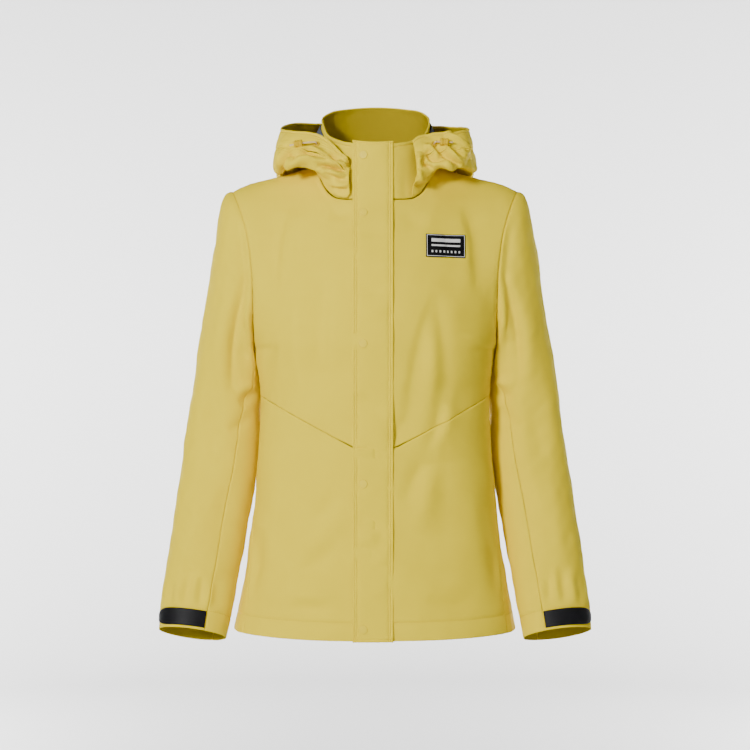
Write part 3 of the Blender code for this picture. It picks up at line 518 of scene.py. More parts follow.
def collar_at(out, rise):
    """Points of the collar's front where it is as far out as asked."""
    low = np.full(rise.shape, -COLLAR_REACH)
    short = lambda azimuth: collar_point(azimuth, rise)[..., 0] < out
    return collar_point(close_in(low, -low, short), rise)


# ---------------------------------------------------------------- grids
THICKNESS = 0.0010
SEAM_LINES = (0.0005, 0.0009, 0.0014, 0.0021, 0.0031, 0.0046)
FOLD_LINES = (0.0003, 0.0007, 0.0012, 0.0020, 0.0031, 0.0046)
STITCH_LINES = (-0.0012, -0.0005, 0.0, 0.0005, 0.0012)
LINE_SPACING = 0.00028
EDGES = ("left", "bottom", "right", "top")
ALL_FOLDED = dict.fromkeys(EDGES, "fold")
PROBE = 97                            # points a side on which a panel's lengths are measured
FITTING_ROUNDS = 3
TINY = 1e-12                          # instead of a length of nought


def arc_lengths(points, axis):
    steps = np.linalg.norm(np.diff(points, axis=axis), axis=-1)
    start = np.zeros_like(np.take(steps, [0], axis))
    return np.concatenate([start, np.cumsum(steps, axis=axis)], axis)


def edge_lines(kind, stitches):
    """Distances from an edge at which the grid has a line, for its fold and its stitches."""
    if kind == "none" and not stitches:
        return np.array([0.0])
    first = SEAM_LINES if kind == "seam" else FOLD_LINES
    wanted = sorted(set(first) | {place + off for place in stitches for off in STITCH_LINES})
    lines = []
    for line in wanted:
        if not lines or line - lines[-1] > LINE_SPACING:
            lines.append(line)
        elif line in stitches:
            lines[-1] = line
    return np.array(lines)


def stations(length, low, high, count):
    inner = np.linspace(0, 1, count + 1)[1:-1]
    start, end = low[-1], length - high[-1]
    return np.concatenate([low, start + (end - start) * inner, length - high[::-1]])


def fitted(surface, lines, step):
    """Parameters of a grid whose outer lines run at set distances from the panel's edges."""
    left, bottom, right, top = (lines[edge] for edge in EDGES)
    s = t = np.linspace(0, 1, PROBE)
    points = surface(*np.meshgrid(s, t))
    wide, tall = arc_lengths(points, 1), arc_lengths(points, 0)
    columns = max(4, round((wide[:, -1].max() - left[-1] - right[-1]) / step))
    rows = max(4, round((tall[-1].max() - bottom[-1] - top[-1]) / step))
    s_at = np.array([np.interp(stations(row[-1], left, right, columns), row, s) for row in wide])
    t_at = np.array([np.interp(stations(col[-1], bottom, top, rows), col, t) for col in tall.T])
    share = np.tile(np.linspace(0, 1, s_at.shape[1]), (t_at.shape[1], 1))
    for _ in range(FITTING_ROUNDS):
        level = np.array([np.interp(share[r], s, t_at[:, r]) for r in range(len(share))])
        share = np.array([np.interp(level[:, c], t, s_at[:, c])
                          for c in range(share.shape[1])]).T
    return share, level


def normals(points, closed=False):
    if closed:
        along = np.roll(points, -1, 1) - np.roll(points, 1, 1)
    else:
        along = np.gradient(points, axis=1)
    normal = np.cross(along, np.gradient(points, axis=0))
    return normal / np.maximum(np.linalg.norm(normal, axis=-1, keepdims=True), TINY)


def unit(vector):
    return vector / max(np.linalg.norm(vector), TINY)


WAVE_SPANS = ((0, math.tau), (0.6, 1.5), (0, 6))    # of a wave's direction, scale and phase


def waves(p, q, size, seed, count=7):
    """Uneven undulation of about unit height, its waves about so long."""
    source = np.random.default_rng(seed)
    total = np.zeros(np.broadcast(p, q).shape)
    for _ in range(count):
        turn, scale, phase = (source.uniform(*span) for span in WAVE_SPANS)
        total += np.sin((p * math.cos(turn) + q * math.sin(turn)) * math.tau * scale / size + phase)
    return total / math.sqrt(count)


Crease = namedtuple("Crease", "width lean depth points")
CREASE_STRENGTH = 2.0
CREASE_PIECES = 6                     # straight pieces between two points of a crease
CREASE_TAPER = 0.8


def creases(*rows):
    """Creases from rows in millimetres: width, lean, depth, then the line's points."""
    return [Crease(width / 1000, lean, depth / 1000, np.array(points) / 1000)
            for width, lean, depth, *points in rows]


def crease_relief(table, p, q):
    """Soft ridges (depth above 0) and troughs along smooth lines through their own points."""
    relief = np.zeros(np.broadcast(p, q).shape)
    for crease in table:
        last = len(crease.points) - 1
        line = curve(crease.points, np.linspace(0, last, CREASE_PIECES * last + 1))
        nearest = np.full(relief.shape, np.inf)
        side = np.zeros(relief.shape)
        along = np.zeros(relief.shape)
        for index, (a, b) in enumerate(zip(line, line[1:])):
            run = b - a
            t = ((p - a[0]) * run[0] + (q - a[1]) * run[1]) / max(run @ run, TINY)
            t = np.clip(t, 0, 1)
            dx, dy = p - a[0] - t * run[0], q - a[1] - t * run[1]
            distance = np.hypot(dx, dy)
            closer = distance < nearest
            nearest = np.where(closer, distance, nearest)
            side = np.where(closer, np.sign(run[0] * dy - run[1] * dx), side)
            along = np.where(closer, (index + t) / (len(line) - 1), along)
        width = crease.width * (1 + crease.lean * side)
        taper = np.sin(np.clip(along, 0.0, 1.0) * math.pi) ** CREASE_TAPER
        relief += crease.depth * taper * np.exp(-(nearest / width) ** 2)
    return relief * CREASE_STRENGTH


# how deep each kind of edge folds in, and over what distance
SEAM_DIP, SEAM_RUN = 0.0010, 0.0013
PUCKER, PUCKER_RUN, PUCKER_SIZE = 0.00036, 0.006, 0.013
STITCH_PUCKER_SIZE = 0.0104
EDGE_DIP, EDGE_RUN = 0.0003, 0.0007
STITCH_DIP, STITCH_RUN = 0.0006, 0.0011
PINCH, PINCH_RUN = 0.00075, 0.0008    # how much thinner the cloth is along its stitches
FOLDED_EXTRA = 0.00055                # second layer between an edge and its stitches
FOLDED_END = 0.0003                   # over which it ends at them


def edge_relief(kind, distance, place, stitches, seed):
    relief = np.zeros(distance.shape)
    if kind == "seam":
        relief -= SEAM_DIP * np.exp(-(distance / SEAM_RUN) ** 2)
        relief += PUCKER * np.exp(-distance / PUCKER_RUN) * waves(place, 0 * place, PUCKER_SIZE, seed)
    if kind == "fold":
        relief -= EDGE_DIP * np.exp(-(distance / EDGE_RUN) ** 2)
    for stitch in stitches:
        ripple = np.exp(-(np.abs(distance - stitch) / PUCKER_RUN))
        relief += PUCKER * ripple * waves(place, 0 * place, STITCH_PUCKER_SIZE, seed + 1)
        relief -= STITCH_DIP * np.exp(-((distance - stitch) / STITCH_RUN) ** 2)
    return relief


def sewn_thickness(distance, stitches):
    """Change in the cloth's thickness near an edge: folded in, and pinched by its stitches."""
    change = -sum(PINCH * np.exp(-((distance - stitch) / PINCH_RUN) ** 2) for stitch in stitches)
    return change + FOLDED_EXTRA / (1 + np.exp((distance - max(stitches)) / FOLDED_END))


# ---------------------------------------------------------------- meshes
def make_object(name, materials, vertices, faces, face_slots=None, uv=None):
    mesh = bpy.data.meshes.new(name)
    mesh.from_pydata([tuple(v) for v in vertices], [], faces)
    for used in materials:
        mesh.materials.append(used)
    if face_slots is not None:
        mesh.polygons.foreach_set("material_index", np.minimum(face_slots, len(materials) - 1))
    if uv is not None:
        layer = mesh.uv_layers.new(name="cloth")
        corners = np.empty(len(mesh.loops), dtype=np.int64)
        mesh.loops.foreach_get("vertex_index", corners)
        layer.data.foreach_set("uv", np.asarray(uv)[corners].ravel())
    mesh.shade_smooth()
    mesh.update()
    made = bpy.data.objects.new(name, mesh)
    bpy.context.scene.collection.objects.link(made)
    return made


RIM_ROUNDING = 0.7                    # of half the thickness, past the grid's edge


def rim_places(rows, columns, closed):
    """Rows and columns in order round the grid, or along both edges of one that is closed."""
    bottom = [(0, c) for c in range(columns)]
    top = [(rows - 1, c) for c in range(columns)]
    if closed:
        return [bottom, top]
    right = [(r, columns - 1) for r in range(1, rows - 1)]
    left = [(r, 0) for r in range(rows - 2, 0, -1)]
    return [bottom + right + top[::-1] + left]


def shell(middle, normal, thickness, uv, closed=False):
    """Closed cloth shell round a grid, with rounded edges: its points, faces, slots and UV."""
    rows, columns = middle.shape[:2]
    size = rows * columns
    half = np.broadcast_to(np.asarray(thickness, float) / 2, (rows, columns))[..., None]
    layers = [(middle + normal * half).reshape(-1, 3), (middle - normal * half).reshape(-1, 3)]
    faces = []
    for r in range(rows - 1):
        for c in range(columns if closed else columns - 1):
            a, b = r * columns + c, r * columns + (c + 1) % columns
            d, e = a + columns, b + columns
            faces += [(a, b, e, d), (size + a, size + d, size + e, size + b)]
    slots = [0, 1] * (len(faces) // 2)
    flat = uv.reshape(-1, 2)
    uvs = [flat, flat]
    offset = 2 * size
    for index, rim in enumerate(rim_places(rows, columns, closed)):
        edge = []
        for r, c in rim:
            push = np.zeros(3)
            if r in (0, rows - 1):
                push += unit(middle[r, c] - middle[1 if r == 0 else rows - 2, c])
            if not closed and c in (0, columns - 1):
                push += unit(middle[r, c] - middle[r, 1 if c == 0 else columns - 2])
            edge.append(middle[r, c] + unit(push) * half[r, c, 0] * RIM_ROUNDING)
        layers.append(np.array(edge))
        at = [r * columns + c for r, c in rim]
        uvs.append(flat[at])
        for k, a in enumerate(at):
            n = (k + 1) % len(at)
            b = at[n]
            quads = [(b, a, offset + k, offset + n), (offset + n, offset + k, size + a, size + b)]
            if closed and index == 1:
                quads = [quad[::-1] for quad in quads]
            faces += quads
            slots += [0, 0]
        offset += len(at)
    return np.concatenate(layers), faces, slots, np.concatenate(uvs)


Panel = namedtuple("Panel", "piece outer normal lines flat area")
THINNEST = 0.2                        # share of a moulded piece's thickness left at its edge


def rounded(distance, bevel):
    """Share of the full thickness at a distance from a moulded piece's edge."""
    return np.sqrt(np.maximum(1 - (1 - np.clip(distance / bevel, 0, 1)) ** 2, THINNEST ** 2))


RIM_RUN = 0.0035                      # height of the thicker band at a rim
HOLD_RUN = 0.009                      # over which the relief fades at a held edge
TUCK_DROP = 0.0019                    # how far the tucked edge lies below its neighbour
SOFTEN_FADE = 0.030                   # below the neck and shoulder seams
SOFTEN_EDGE = 8                       # columns beside the side edges that stay


def soften(middle, rounds):
    """Evens out the line that runs down from the neck's corner."""
    tall = arc_lengths(middle, 0)
    keep = np.clip((tall[-1:] - tall) / SOFTEN_FADE, 0, 1)[:, SOFTEN_EDGE:-SOFTEN_EDGE, None]
    for _ in range(rounds):
        mean = (middle[:, SOFTEN_EDGE - 1:-SOFTEN_EDGE - 1]
                + middle[:, SOFTEN_EDGE + 1:-SOFTEN_EDGE + 1]) / 2
        inner = middle[:, SOFTEN_EDGE:-SOFTEN_EDGE]
        middle[:, SOFTEN_EDGE:-SOFTEN_EDGE] = inner + (mean - inner) * keep * 0.5
    return middle


def panel(name, surface, kinds, step, materials, stitches=None, relief=None, side=1, lift=0.0,
          thickness=THICKNESS, bevel=0.0, rim=0.0, seed=1, closed=False, even=0, hold=(), tuck=0.0):
    """One cut piece of cloth. kinds and stitches name the edges left, bottom, right and top,
    as seen on the wearer's left; side -1 mirrors the piece. The relief fades out at the held
    edges, even is the rounds of softening, and tuck is how far the top edge runs on under
    its neighbour."""
    kinds = {edge: kinds.get(edge, "none") for edge in EDGES}
    sewn = {edge: (stitches or {}).get(edge, ()) for edge in EDGES}
    lines = {edge: edge_lines(kinds[edge], sewn[edge]) for edge in EDGES}
    share, level = fitted(surface, lines, step)
    middle = soften(surface(share, level), even)
    wide, tall = arc_lengths(middle, 1), arc_lengths(middle, 0)
    flat = (float(wide[:, -1].max()), float(tall[-1].max()))
    corner = middle[:-1, :-1]
    cells = np.linalg.norm(np.cross(middle[1:, :-1] - corner, middle[:-1, 1:] - corner), axis=-1)
    away = {"left": wide + lines["left"][0], "right": wide[:, -1:] - wide + lines["right"][0],
            "bottom": tall + lines["bottom"][0], "top": tall[-1:] - tall + lines["top"][0]}
    place = {"left": tall, "right": tall, "bottom": wide, "top": wide}
    raised = np.full(share.shape, lift)
    thick = np.full(share.shape, thickness)
    for index, edge in enumerate(EDGES):
        raised += edge_relief(kinds[edge], away[edge], place[edge], sewn[edge], seed * 10 + index)
        if sewn[edge]:
            thick += sewn_thickness(away[edge], sewn[edge])
    if relief is not None:
        free = np.ones(share.shape)
        for edge in hold:
            free *= 1 - np.exp(-(away[edge] / HOLD_RUN) ** 2)
        raised += relief(middle, share, level) * free
    if tuck:
        middle[-1] += (middle[-1] - middle[-3]) / (tall[-1] - tall[-3])[:, None] * tuck
        raised[-1] -= TUCK_DROP
    if bevel:
        thick *= rounded(np.minimum.reduce([away[edge] for edge in EDGES]), bevel)
    if rim:
        thick += rim * np.exp(-(away["top"] / RIM_RUN) ** 4)
    grids = [middle, raised, thick, np.stack([wide, tall], -1)]
    if closed:
        grids = [grid[:, :-1] for grid in grids]
    if side < 0:
        grids = [grid[:, ::-1].copy() for grid in grids]
        grids[0][..., 0] *= -1
    middle, raised, thick, uv = grids
    middle = middle + normals(middle, closed) * raised[..., None]
    normal = normals(middle, closed)
    piece = make_object(name, materials, *shell(middle, normal, thick, uv, closed))
    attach(piece, "root")
    return Panel(piece, middle + normal * thick[..., None] / 2, normal, lines, flat, cells.sum())


def cloth(name, surface, kinds, step, held="hung", faces=None, **settings):
    """A panel of the shell cloth, in place of its own solid."""
    made = panel(name + "_cloth", surface, kinds, step, faces or shell_faces, **settings)
    declare(name)
    return made


def declare(node_name):
    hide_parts(node_name)


def line_of(made, edge, distance):
    """Outer points and normals of a panel along a stitch line, not of a mirrored side edge."""
    index = int(np.argmin(np.abs(made.lines[edge] - distance)))
    if edge in ("right", "top"):
        index = -1 - index
    if edge in ("left", "right"):
        return made.outer[:, index], made.normal[:, index]
    return made.outer[index], made.normal[index]


STITCH_PITCH = 0.0031
STITCH_LENGTH = 0.0022
THREAD_RADIUS = 0.00030
THREAD_SIDES = 5
# a stitch's rings: share of its length, of the radius, and the height in radii
STITCH_RINGS = ((0.0, 0.5, -0.1), (0.3, 1.0, 0.45), (0.7, 1.0, 0.45), (1.0, 0.5, -0.1))


def ring_points(centre, along, up, radius, sides):
    """Points round a centre, anticlockwise about along and starting from up."""
    across = np.cross(along, up)
    turns = [math.tau * k / sides for k in range(sides)]
    return [centre + (up * math.cos(turn) + across * math.sin(turn)) * radius for turn in turns]


def rod_faces(base, rings, sides):
    """Faces of a closed rod whose rings follow one another from vertex base on."""
    last = base + (rings - 1) * sides
    faces = [tuple(range(base + sides - 1, base - 1, -1)), tuple(range(last, last + sides))]
    for start in range(base, last, sides):
        for k in range(sides):
            a, b = start + k, start + (k + 1) % sides
            faces.append((a, b, b + sides, a + sides))
    return faces


class Threads:
    """Gathers stitches into one mesh."""

    def __init__(self):
        self.vertices, self.faces = [], []

    def add_line(self, line, margin):
        """Stitches along outer points, leaving out so many metres at either end."""
        points, outward = line
        arc = arc_lengths(points, 0)
        for index in range(int((arc[-1] - 2 * margin) / STITCH_PITCH)):
            self.add_stitch(points, outward, arc, margin + index * STITCH_PITCH)

    def add_stitch(self, points, outward, arc, low):
        rings = []
        for share, width, height in STITCH_RINGS:
            at = low + STITCH_LENGTH * share
            centre = np.array([np.interp(at, arc, column) for column in points.T])
            up = unit(np.array([np.interp(at, arc, column) for column in outward.T]))
            rings.append((centre + up * THREAD_RADIUS * height, up, THREAD_RADIUS * width))
        along = unit(rings[-1][0] - rings[0][0])
        self.faces += rod_faces(len(self.vertices), len(rings), THREAD_SIDES)
        for centre, up, radius in rings:
            self.vertices += ring_points(centre, along, up, radius, THREAD_SIDES)


STITCH_MARGIN = 0.0012                # free of stitches at either end of a line


def stitch_group(name, lines, margin=STITCH_MARGIN):
    group = Threads()
    for line in lines:
        group.add_line(line, margin)
    made = make_object(name, [thread], group.vertices, group.faces)
    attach(made, "root")


# ---------------------------------------------------------------- materials
WEAVE_PITCH = 0.00055
BRAID_PITCH = 0.0016
BRAID_STRANDS = 8                     # round the cord
MIX_FIRST, MIX_SECOND, MIX_RESULT = 6, 7, 2     # a mix node's sockets for colours


def new_material(name, roughness, specular, sheen=0.0):
    made = bpy.data.materials.new(name)
    made.use_nodes = True
    shader = made.node_tree.nodes["Principled BSDF"]
    shader.inputs["Roughness"].default_value = roughness
    shader.inputs["Specular IOR Level"].default_value = specular
    shader.inputs["Sheen Weight"].default_value = sheen
    shader.inputs["Sheen Roughness"].default_value = 0.5
    return made, made.node_tree, shader


def plug(tree, socket, value):
    """Links a node's output to a socket, or sets the socket's value."""
    if isinstance(value, bpy.types.NodeSocket):
        tree.links.new(value, socket)
    else:
        socket.default_value = value


def node(tree, kind, **inputs):
    made = tree.nodes.new(kind)
    for name, value in inputs.items():
        plug(tree, made.inputs[name], value)
    return made


def mapped(tree, coordinate, scale):
    source = tree.nodes.new("ShaderNodeTexCoord").outputs[coordinate]
    return node(tree, "ShaderNodeMapping", Vector=source, Scale=scale).outputs["Vector"]


def noise(tree, where, **inputs):
    return node(tree, "ShaderNodeTexNoise", Vector=where, **inputs).outputs[0]


def maths(tree, operation, first, second=0.0):
    made = tree.nodes.new("ShaderNodeMath")
    made.operation = operation
    plug(tree, made.inputs[0], first)
    plug(tree, made.inputs[1], second)
    return made.outputs[0]


def wave(tree, value, turn):
    return maths(tree, "SINE", maths(tree, "MULTIPLY", value, turn))


def blend(tree, first, first_share, second, second_share):
    return maths(tree, "ADD", maths(tree, "MULTIPLY", first, first_share),
                 maths(tree, "MULTIPLY", second, second_share))


def dress(tree, shader, share, light, dark, height, strength, depth=0.0002):
    """Two colours mixed by a share, and a bump."""
    mix = tree.nodes.new("ShaderNodeMix")
    mix.data_type = "RGBA"
    plug(tree, mix.inputs[0], share)
    mix.inputs[MIX_FIRST].default_value = (*light, 1)
    mix.inputs[MIX_SECOND].default_value = (*dark, 1)
    plug(tree, shader.inputs["Base Color"], mix.outputs[MIX_RESULT])
    bump = node(tree, "ShaderNodeBump", Height=height, Strength=strength, Distance=depth)
    plug(tree, shader.inputs["Normal"], bump.outputs[0])


def cloth_material(name, light, dark, roughness, sheen):
    """Coated woven cloth: fine weave, faint mottling and a soft sheen."""
    made, tree, shader = new_material(name, roughness, 0.05, sheen)
    shader.inputs["Specular Tint"].default_value = (1.0, 0.86, 0.42, 1)
    shader.inputs["Sheen Tint"].default_value = (1.0, 0.88, 0.45, 1)
    mottle = noise(tree, mapped(tree, "Object", (7, 7, 7)), Detail=3.0, Roughness=0.55)
    grain = noise(tree, mapped(tree, "UV", (900, 900, 1)), Detail=2.0, Roughness=0.6)
    parts = node(tree, "ShaderNodeSeparateXYZ",
                 Vector=mapped(tree, "UV", (1 / WEAVE_PITCH, 1 / WEAVE_PITCH, 1)))
    weave = maths(tree, "MULTIPLY", wave(tree, parts.outputs["X"], math.pi),
                  wave(tree, parts.outputs["Y"], math.pi))
    dress(tree, shader, blend(tree, mottle, 0.7, grain, 0.3), light, dark,
          blend(tree, weave, 0.5, grain, 0.5), 0.12)
    return made


def plastic_material(name, light, dark, roughness, scale, strength, specular):
    """Moulded plastic or rubber with a fine uneven surface."""
    made, tree, shader = new_material(name, roughness, specular)
    speckle = noise(tree, mapped(tree, "Object", (scale,) * 3), Detail=3.0, Roughness=0.6)
    dress(tree, shader, speckle, light, dark, speckle, strength)
    return made


def rib_material(name, light, dark, roughness, pitch, strength, axis="X"):
    """Woven or knitted band with fine ribs."""
    made, tree, shader = new_material(name, roughness, 0.06)
    where = mapped(tree, "UV", (1 / pitch, 1 / pitch, 1))
    line = node(tree, "ShaderNodeSeparateXYZ", Vector=where).outputs[axis]
    fuzz = noise(tree, where, Scale=0.9, Detail=2.0)
    dress(tree, shader, fuzz, light, dark, blend(tree, wave(tree, line, math.tau), 0.5, fuzz, 1.0),
          strength, 0.0003)
    return made


def cord_material(name, light, dark):
    """Braided cord: pale dots between darker strands."""
    made, tree, shader = new_material(name, 0.7, 0.25, sheen=0.2)
    parts = node(tree, "ShaderNodeSeparateXYZ",
                 Vector=mapped(tree, "UV", (BRAID_STRANDS, 1 / BRAID_PITCH, 1)))
    turns = [maths(tree, way, parts.outputs["X"], parts.outputs["Y"]) for way in ("ADD", "SUBTRACT")]
    strands = maths(tree, "MULTIPLY", *(wave(tree, turn, math.pi) for turn in turns))
    dots = maths(tree, "GREATER_THAN", strands, 0.25)
    dress(tree, shader, dots, dark, light, strands, 0.6)
    return made


# name, light and dark colour, roughness and sheen
shell_cloth = cloth_material("shell cloth", (0.900, 0.695, 0.016), (0.865, 0.655, 0.012), 0.70, 0.02)
# the inner faces: the same cloth made darker, painted shade for the garment's shaded inside
inside_cloth_painted_shade = cloth_material("shell cloth inside painted shade", (0.640, 0.480, 0.014), (0.590, 0.435, 0.012),
                              0.70, 0.0)
# the collar's inner face: the same cloth darker still, painted shade inside the collar
collar_inside_painted_shade = cloth_material("collar inside painted shade", (0.400, 0.290, 0.008), (0.350, 0.250, 0.007),
                               0.75, 0.0)
# name, light and dark colour, roughness, rib pitch and depth of relief
tape_cloth = rib_material("grey-blue tape", (0.130, 0.148, 0.175), (0.090, 0.104, 0.125),
                          0.85, 0.0011, 0.4)
patch_cloth = rib_material("woven patch ground", (0.0075, 0.0075, 0.0085), (0.0045, 0.0045, 0.0055),
                           0.85, 0.0005, 0.5, axis="Y")
white_thread = rib_material("white woven thread", (0.80, 0.80, 0.78), (0.70, 0.70, 0.68),
                            0.7, 0.0004, 0.4)
# name, light and dark colour, roughness, scale and depth of relief, and specular level
# the stitches: partly the thread's own tone, partly painted shade of the stitch lines, darker than
# the shell cloth
thread = plastic_material("thread", (0.72, 0.52, 0.014), (0.64, 0.45, 0.012), 0.6, 3000, 0.2, 0.2)
tab_rubber = plastic_material("black moulded tab", (0.0080, 0.0080, 0.0095),
                              (0.0050, 0.0050, 0.0062), 0.50, 900, 0.25, 0.12)
snap_cap = plastic_material("snap cap", (0.900, 0.690, 0.018), (0.865, 0.650, 0.014),
                            0.45, 1200, 0.1, 0.18)
lock_plastic = plastic_material("cord lock", (0.72, 0.47, 0.001), (0.64, 0.41, 0.001),
                                0.50, 800, 0.12, 0.10)
braid = cord_material("braided cord", (0.90, 0.80, 0.55), (0.78, 0.50, 0.13))
# outer faces in the shell cloth, inner faces in its darker copy, painted shade of the inside
shell_faces = [shell_cloth, inside_cloth_painted_shade]


# ---------------------------------------------------------------- creases, placed one by one
TORSO_WAVES = ((0.095, 0.00130, 11), (0.036, 0.00036, 12))     # size, height and seed
SLEEVE_WAVES = ((0.075, 0.00080, 21), (0.030, 0.00032, 22))
HOOD_WAVES = ((0.050, 0.00150, 31), (0.022, 0.00070, 32))
COLLAR_WAVES = ((0.060, 0.00050, 41), (0.025, 0.00020, 42))
# in millimetres: width, lean and depth, then x and z of each point as seen from the front
FRONT_CREASES = creases(
    (12, 0.3, -2.2, (83, -175), (66, -230), (50, -300), (40, -385)),
    (10, 0, -1.6, (83, -175), (92, -240), (100, -330)),
    (11, 0, 1.7, (77, -205), (78, -270), (72, -350)),
    (9, -0.3, -1.9, (92, -325), (84, -360), (70, -395)),
    (9, 0, 1.4, (105, -300), (100, -345), (93, -380)),
    (6, 0, -1.6, (36, -350), (29, -372), (25, -395)),
    (11, 0, -1.8, (68, -405), (52, -432), (37, -470)),
    (12, 0, 1.4, (80, -412), (72, -450), (60, -500)),
    (14, 0, -1, (94, -420), (96, -480), (90, -540)),
    (12, 0.3, -1.6, (128, -60), (139, -110), (142, -180)),
    (10, -0.3, 1.2, (112, -55), (124, -110), (128, -170)),
    (12, -0.3, -1.7, (-126, -65), (-138, -115), (-141, -190)),
    (11, 0.3, 1.2, (-112, -60), (-121, -110), (-124, -160)),
    (10, 0.2, -1.5, (-140, -225), (-146, -265), (-150, -310)),
    (12, 0, -1.3, (-66, -150), (-76, -215), (-78, -300)),
    (13, 0, 1.1, (-104, -170), (-108, -235), (-103, -310)),
    (12, 0, -0.9, (-50, -440), (-66, -470), (-92, -490)),
    (12, 0, 0.9, (-45, -480), (-72, -512), (-106, -528)),
    (12, 0, -1, (-52, -515), (-80, -545), (-118, -556)),
    (14, 0, 1, (-132, -420), (-140, -480), (-150, -540)),
    (10, 0, -1.5, (-158, -500), (-165, -550), (-173, -600)),
    (10, 0, -1.4, (156, -500), (163, -550), (172, -610)),
    (13, 0, 1, (130, -430), (136, -490), (143, -550)),
    (10, 0, -1, (-110, -596), (-85, -606), (-60, -603)),
    (10, 0, 1, (-125, -583), (-95, -590), (-50, -588)),
    (10, 0, -1, (70, -590), (100, -602), (140, -598)),
    (11, 0, 1, (50, -575), (90, -583), (130, -578)),
    (8, 0, -1.1, (-30, -60), (-45, -70), (-62, -66)),
    (10, 0, -1.2, (34, -62), (52, -78), (74, -78)),
)
BACK_CREASES = creases(
    (16, 0, -2.2, (-90, -120), (-70, -200), (-58, -300), (-60, -380)),
    (16, 0, -2, (94, -110), (76, -190), (60, -290), (52, -370)),
    (18, 0, 1.6, (-118, -180), (-104, -270), (-98, -370)),
    (18, 0, 1.6, (120, -170), (108, -260), (100, -360)),
    (13, 0.3, -2.2, (-140, -130), (-146, -190), (-150, -260)),
    (13, -0.3, -2.2, (140, -125), (146, -185), (150, -250)),
    (16, 0, -1.7, (-130, -360), (-60, -385), (20, -378), (110, -352)),
    (14, 0, 1.3, (-120, -395), (-40, -412), (50, -408), (120, -388)),
    (15, 0, -1.2, (-100, -430), (-110, -500), (-125, -580)),
    (16, 0, 1.2, (-50, -440), (-55, -520), (-62, -600)),
    (16, 0, -1.2, (20, -450), (18, -530), (24, -610)),
    (15, 0, 1.2, (95, -430), (104, -510), (118, -590)),
    (11, 0, -1.2, (-130, -598), (-80, -606), (-30, -600)),
    (11, 0, -1.2, (40, -600), (90, -607), (140, -599)),
)
SLEEVE_CREASES = creases(
    (9, 0.3, -4.5, (187, -62), (181, -95), (178, -130), (172, -165)),
    (7, 0, 2.2, (178, -120), (171, -150), (167, -185)),
    (9, -0.2, -4.2, (174, -135), (185, -175), (197, -235), (200, -310)),
    (10, 0.2, 3, (172, -155), (176, -200), (180, -250)),
    (11, 0, 1.8, (204, -170), (214, -230), (217, -300)),
    (8, 0, -2.2, (170, -306), (180, -317), (192, -322)),
    (16, 0, 2.2, (161, -246), (162, -268), (166, -292)),
    (7, 0, 2, (168, -292), (180, -300), (196, -302)),
    (9, 0, -1.8, (176, -335), (188, -352), (206, -362)),
    (14, 0, -1.6, (224, -300), (226, -370), (232, -440)),
    (14, 0, 1.4, (242, -250), (248, -330), (252, -410)),
    (13, 0, -1.4, (200, -420), (212, -470), (224, -530)),
    (13, 0, 1.3, (244, -440), (254, -500), (262, -555)),
    (9, 0, -2, (257, -548), (259, -575), (262, -603)),
    (7, 0, 1.8, (249, -556), (250, -580), (252, -602)),
    (8, 0, -1.8, (240, -560), (241, -582), (242, -603)),
    (7, 0, 1.7, (270, -560), (273, -582), (275, -604)),
    (7, 0, -1.7, (281, -566), (284, -585), (286, -604)),
    (7, 0, 1.4, (229, -570), (230, -588), (231, -604)),
    (9, 0, -1.4, (216, -560), (219, -585), (221, -607)),
)
SLEEVE_BACK_CREASES = creases(
    (16, 0, 2.2, (161, -246), (162, -268), (166, -292)),
    (11, 0, -4, (188, -70), (182, -115), (176, -165)),
    (11, 0, -3.4, (176, -150), (190, -210), (202, -290)),
    (12, 0, 2.4, (202, -150), (212, -215), (220, -290)),
    (9, 0, -3, (172, -305), (196, -318), (226, -318)),
    (9, 0, 2.2, (176, -290), (200, -298), (232, -300)),
    (9, 0, -2.6, (176, -340), (202, -352), (236, -350)),
    (13, 0, -1.8, (214, -390), (224, -450), (234, -520)),
    (13, 0, 1.6, (246, -390), (256, -460), (264, -530)),
    (8, 0, -1.8, (246, -556), (248, -582), (250, -606)),
    (8, 0, 1.6, (262, -556), (266, -582), (268, -606)),
    (8, 0, -1.6, (224, -560), (228, -584), (230, -606)),
)


# how much stronger the creases are on the wearer's right, and how much lower on that sleeve
FRONT_STRENGTH = {1: 1.0, -1: 1.6}
SLEEVE_STRENGTH = {1: 1.0, -1: 1.15}
SLEEVE_SHIFT = {1: 0.0, -1: 0.006}
BACK_PHASE = 1.0                      # metres by which the back's waves are moved along
HOOD_STRENGTH = 1.25                  # of the hood's front creases
# the hood's waves grow over its first stops and fade towards the rim
QUIET_START, QUIET_RUN, QUIET_END, QUIET_LEAST = 0.8, 1.3, 5.3, 0.35
SIDE_SHARE = 0.3                      # of each crease table, on a surface that faces sideways
FACING_RISE = 1.5


def undulation(sizes, p, q):
    return sum(height * waves(p, q, size, seed) for size, height, seed in sizes)


def front_relief(side):
    def relief(middle, *_):
        p, q = middle[..., 0] * side, middle[..., 2]
        strength = FRONT_STRENGTH[side]
        return undulation(TORSO_WAVES, p, q) + strength * crease_relief(FRONT_CREASES, p, q)
    return relief


def facing(middle):
    """How much of the front's creases and of the back's a surface takes, from its normals."""
    ahead = -normals(middle)[..., 1]
    return [np.clip(SIDE_SHARE + way * ahead * FACING_RISE, 0, 1) for way in (1, -1)]


def back_relief(middle, *_):
    p, q = middle[..., 0], middle[..., 2]
    return undulation(TORSO_WAVES, p + BACK_PHASE, q) + crease_relief(BACK_CREASES, p, q)


def sleeve_relief(side):
    """Relief of a sleeve panel; the wearer's right has the left's creases, a little moved."""
    def relief(middle, *_):
        p, q = middle[..., 0], middle[..., 2] + SLEEVE_SHIFT[side]
        before, behind = facing(middle)
        folds = (before * crease_relief(SLEEVE_CREASES, p, q)
                 + behind * crease_relief(SLEEVE_BACK_CREASES, p, q))
        wavy = undulation(SLEEVE_WAVES, p + middle[..., 1] + side, q)
        return wavy + SLEEVE_STRENGTH[side] * folds
    return relief


